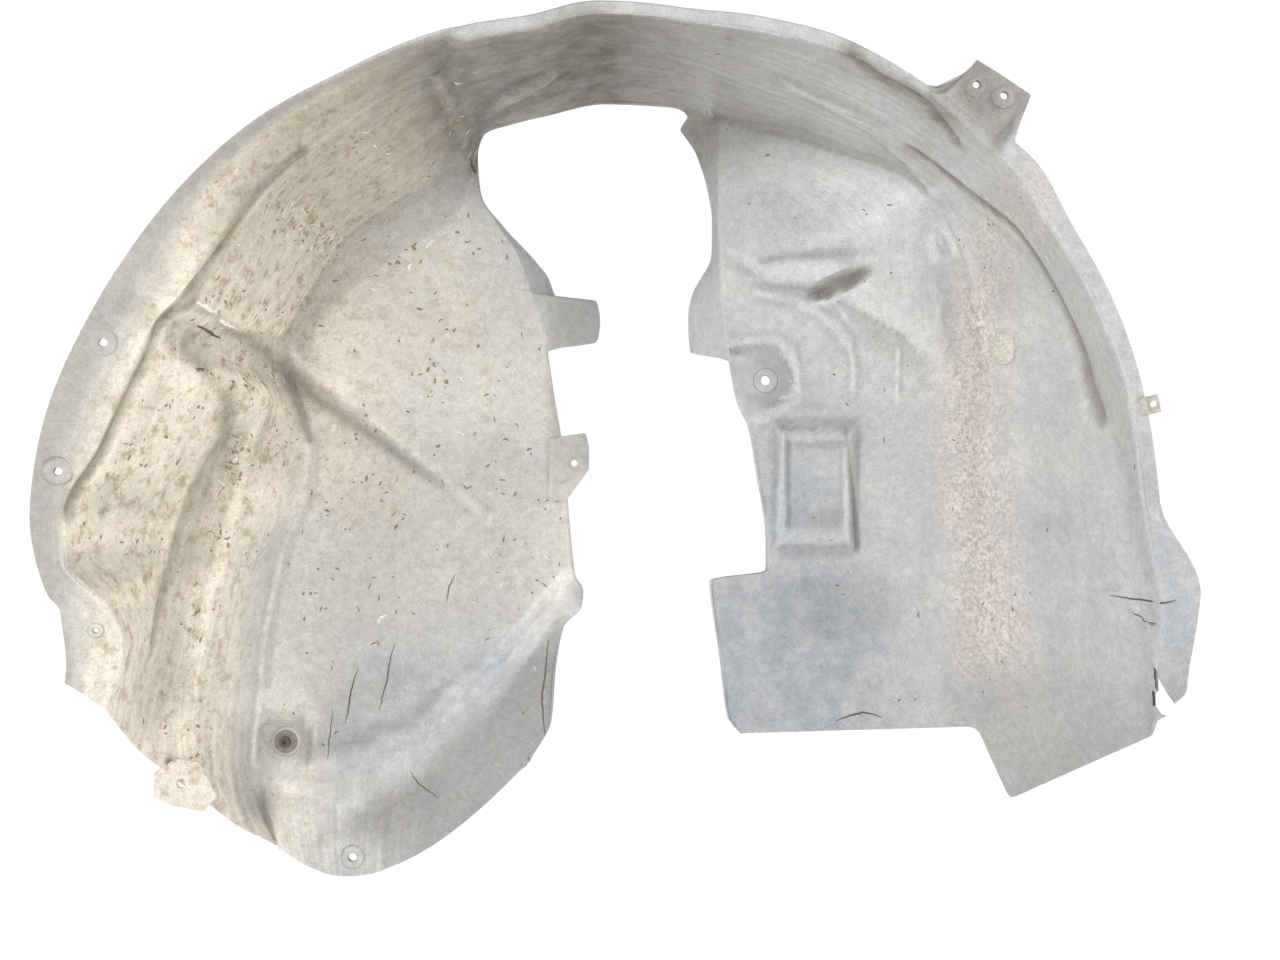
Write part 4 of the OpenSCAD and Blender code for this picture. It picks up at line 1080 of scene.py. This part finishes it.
class LINER_OT_stage(Operator):
    """Makes the pale floor, the soft lights and the camera."""
    bl_idname = "liner.stage"
    bl_label = "Stage"

    def execute(self, context):
        scene, settings = context.scene, context.scene.liner
        scene.view_settings.view_transform = "Standard"
        low = CAD_BOX[0][2] - 0.004
        mesh = bpy.data.meshes.new("floor")
        mesh.from_pydata([(-40, -40, low), (40, -40, low), (40, 40, low), (-40, 40, low)], [], [(0, 1, 2, 3)])
        floor = bpy.data.objects.new("floor", mesh)
        scene.collection.objects.link(floor)
        made, tree, shader = new_material("pale studio floor")
        shader.inputs["Base Color"].default_value = rgba("#c9c9c7")
        shader.inputs["Roughness"].default_value = 0.9
        glow = add(tree, "ShaderNodeEmission", {"Color": (1, 1, 1, 1), "Strength": 1.25})
        both = add(tree, "ShaderNodeMixShader", {0: 0.78, 1: shader.outputs["BSDF"], 2: glow.outputs[0]})
        output = next(n for n in tree.nodes if n.type == "OUTPUT_MATERIAL")
        tree.links.new(both.outputs[0], output.inputs["Surface"])
        mesh.materials.append(made)

        world = bpy.data.worlds.new("soft studio")
        world.use_nodes = True
        tree = world.node_tree
        tree.nodes.clear()
        ray = add(tree, "ShaderNodeLightPath").outputs["Is Camera Ray"]
        way = add(tree, "ShaderNodeTexCoord").outputs["Generated"]
        height = add(tree, "ShaderNodeSeparateXYZ", {0: way})
        sky = add(tree, "ShaderNodeMapRange", {
            "Value": height.outputs["Z"], "From Min": -0.4, "From Max": 0.7, "To Min": 0.25, "To Max": 0.5})
        seen = add(tree, "ShaderNodeBackground", {"Color": (1, 1, 1, 1), "Strength": 1.0})
        light = add(tree, "ShaderNodeBackground", {"Color": (0.93, 0.96, 1, 1), "Strength": sky.outputs[0]})
        both = add(tree, "ShaderNodeMixShader", {0: ray, 1: light.outputs[0], 2: seen.outputs[0]})
        add(tree, "ShaderNodeOutputWorld", {"Surface": both.outputs[0]})
        scene.world = world

        # Each lamp: place, aim, size and power.
        for name, place, aim, size, power in (
                ("key", (-0.9, -2.8, 0.8), (-0.1, -0.1, 0.1), 0.6, 28),
                ("right", (2.5, -1.2, 0.1), (-0.4, -0.1, 0.0), 1.2, 50),
                ("left", (-2.3, -1.5, 0.5), (0.3, -0.1, 0.1), 1.2, 26)):
            lamp = bpy.data.lights.new(name, "AREA")
            lamp.energy, lamp.size = power, size
            obj = bpy.data.objects.new(name, lamp)
            way = np.array(aim) - np.array(place)
            obj.location = place
            obj.rotation_euler = (math.atan2(math.hypot(way[0], way[1]), -way[2]), 0,
                                  math.atan2(way[1], way[0]) - math.pi / 2)
            scene.collection.objects.link(obj)

        data = bpy.data.cameras.new("camera")
        data.sensor_fit, data.sensor_width, data.lens = "HORIZONTAL", 36, settings.lens
        data.clip_start, data.clip_end = 0.05, 200
        camera = bpy.data.objects.new("camera", data)
        camera.location = (np.array([34.0, -1000 * settings.camera_distance, 40.0]) - DATUM) / 1000
        camera.rotation_euler = (math.pi / 2, 0, 0)
        scene.collection.objects.link(camera)
        scene.camera = camera
        return {"FINISHED"}


class LINER_PT_panel(Panel):
    bl_label = "Wheel arch liner"
    bl_idname = "LINER_PT_panel"
    bl_space_type = "VIEW_3D"
    bl_region_type = "UI"
    bl_category = "Liner"

    def draw(self, context):
        for name in ("camera_distance", "lens", "plastic", "dust", "grime_and_shade"):
            self.layout.prop(context.scene.liner, name)
        for operator in OPERATORS:
            self.layout.operator(operator.bl_idname)


OPERATORS = (LINER_OT_sheet, LINER_OT_collars, LINER_OT_fasteners, LINER_OT_stage)
CLASSES = (LinerSettings,) + OPERATORS + (LINER_PT_panel,)


def register():
    for cls in CLASSES:
        bpy.utils.register_class(cls)
    bpy.types.Scene.liner = PointerProperty(type=LinerSettings)


def unregister():
    del bpy.types.Scene.liner
    for cls in reversed(CLASSES):
        bpy.utils.unregister_class(cls)


def main():
    register()
    bpy.ops.liner.sheet()
    bpy.ops.liner.collars()
    bpy.ops.liner.fasteners()
    bpy.ops.liner.stage()


if __name__ == "__main__":
    main()
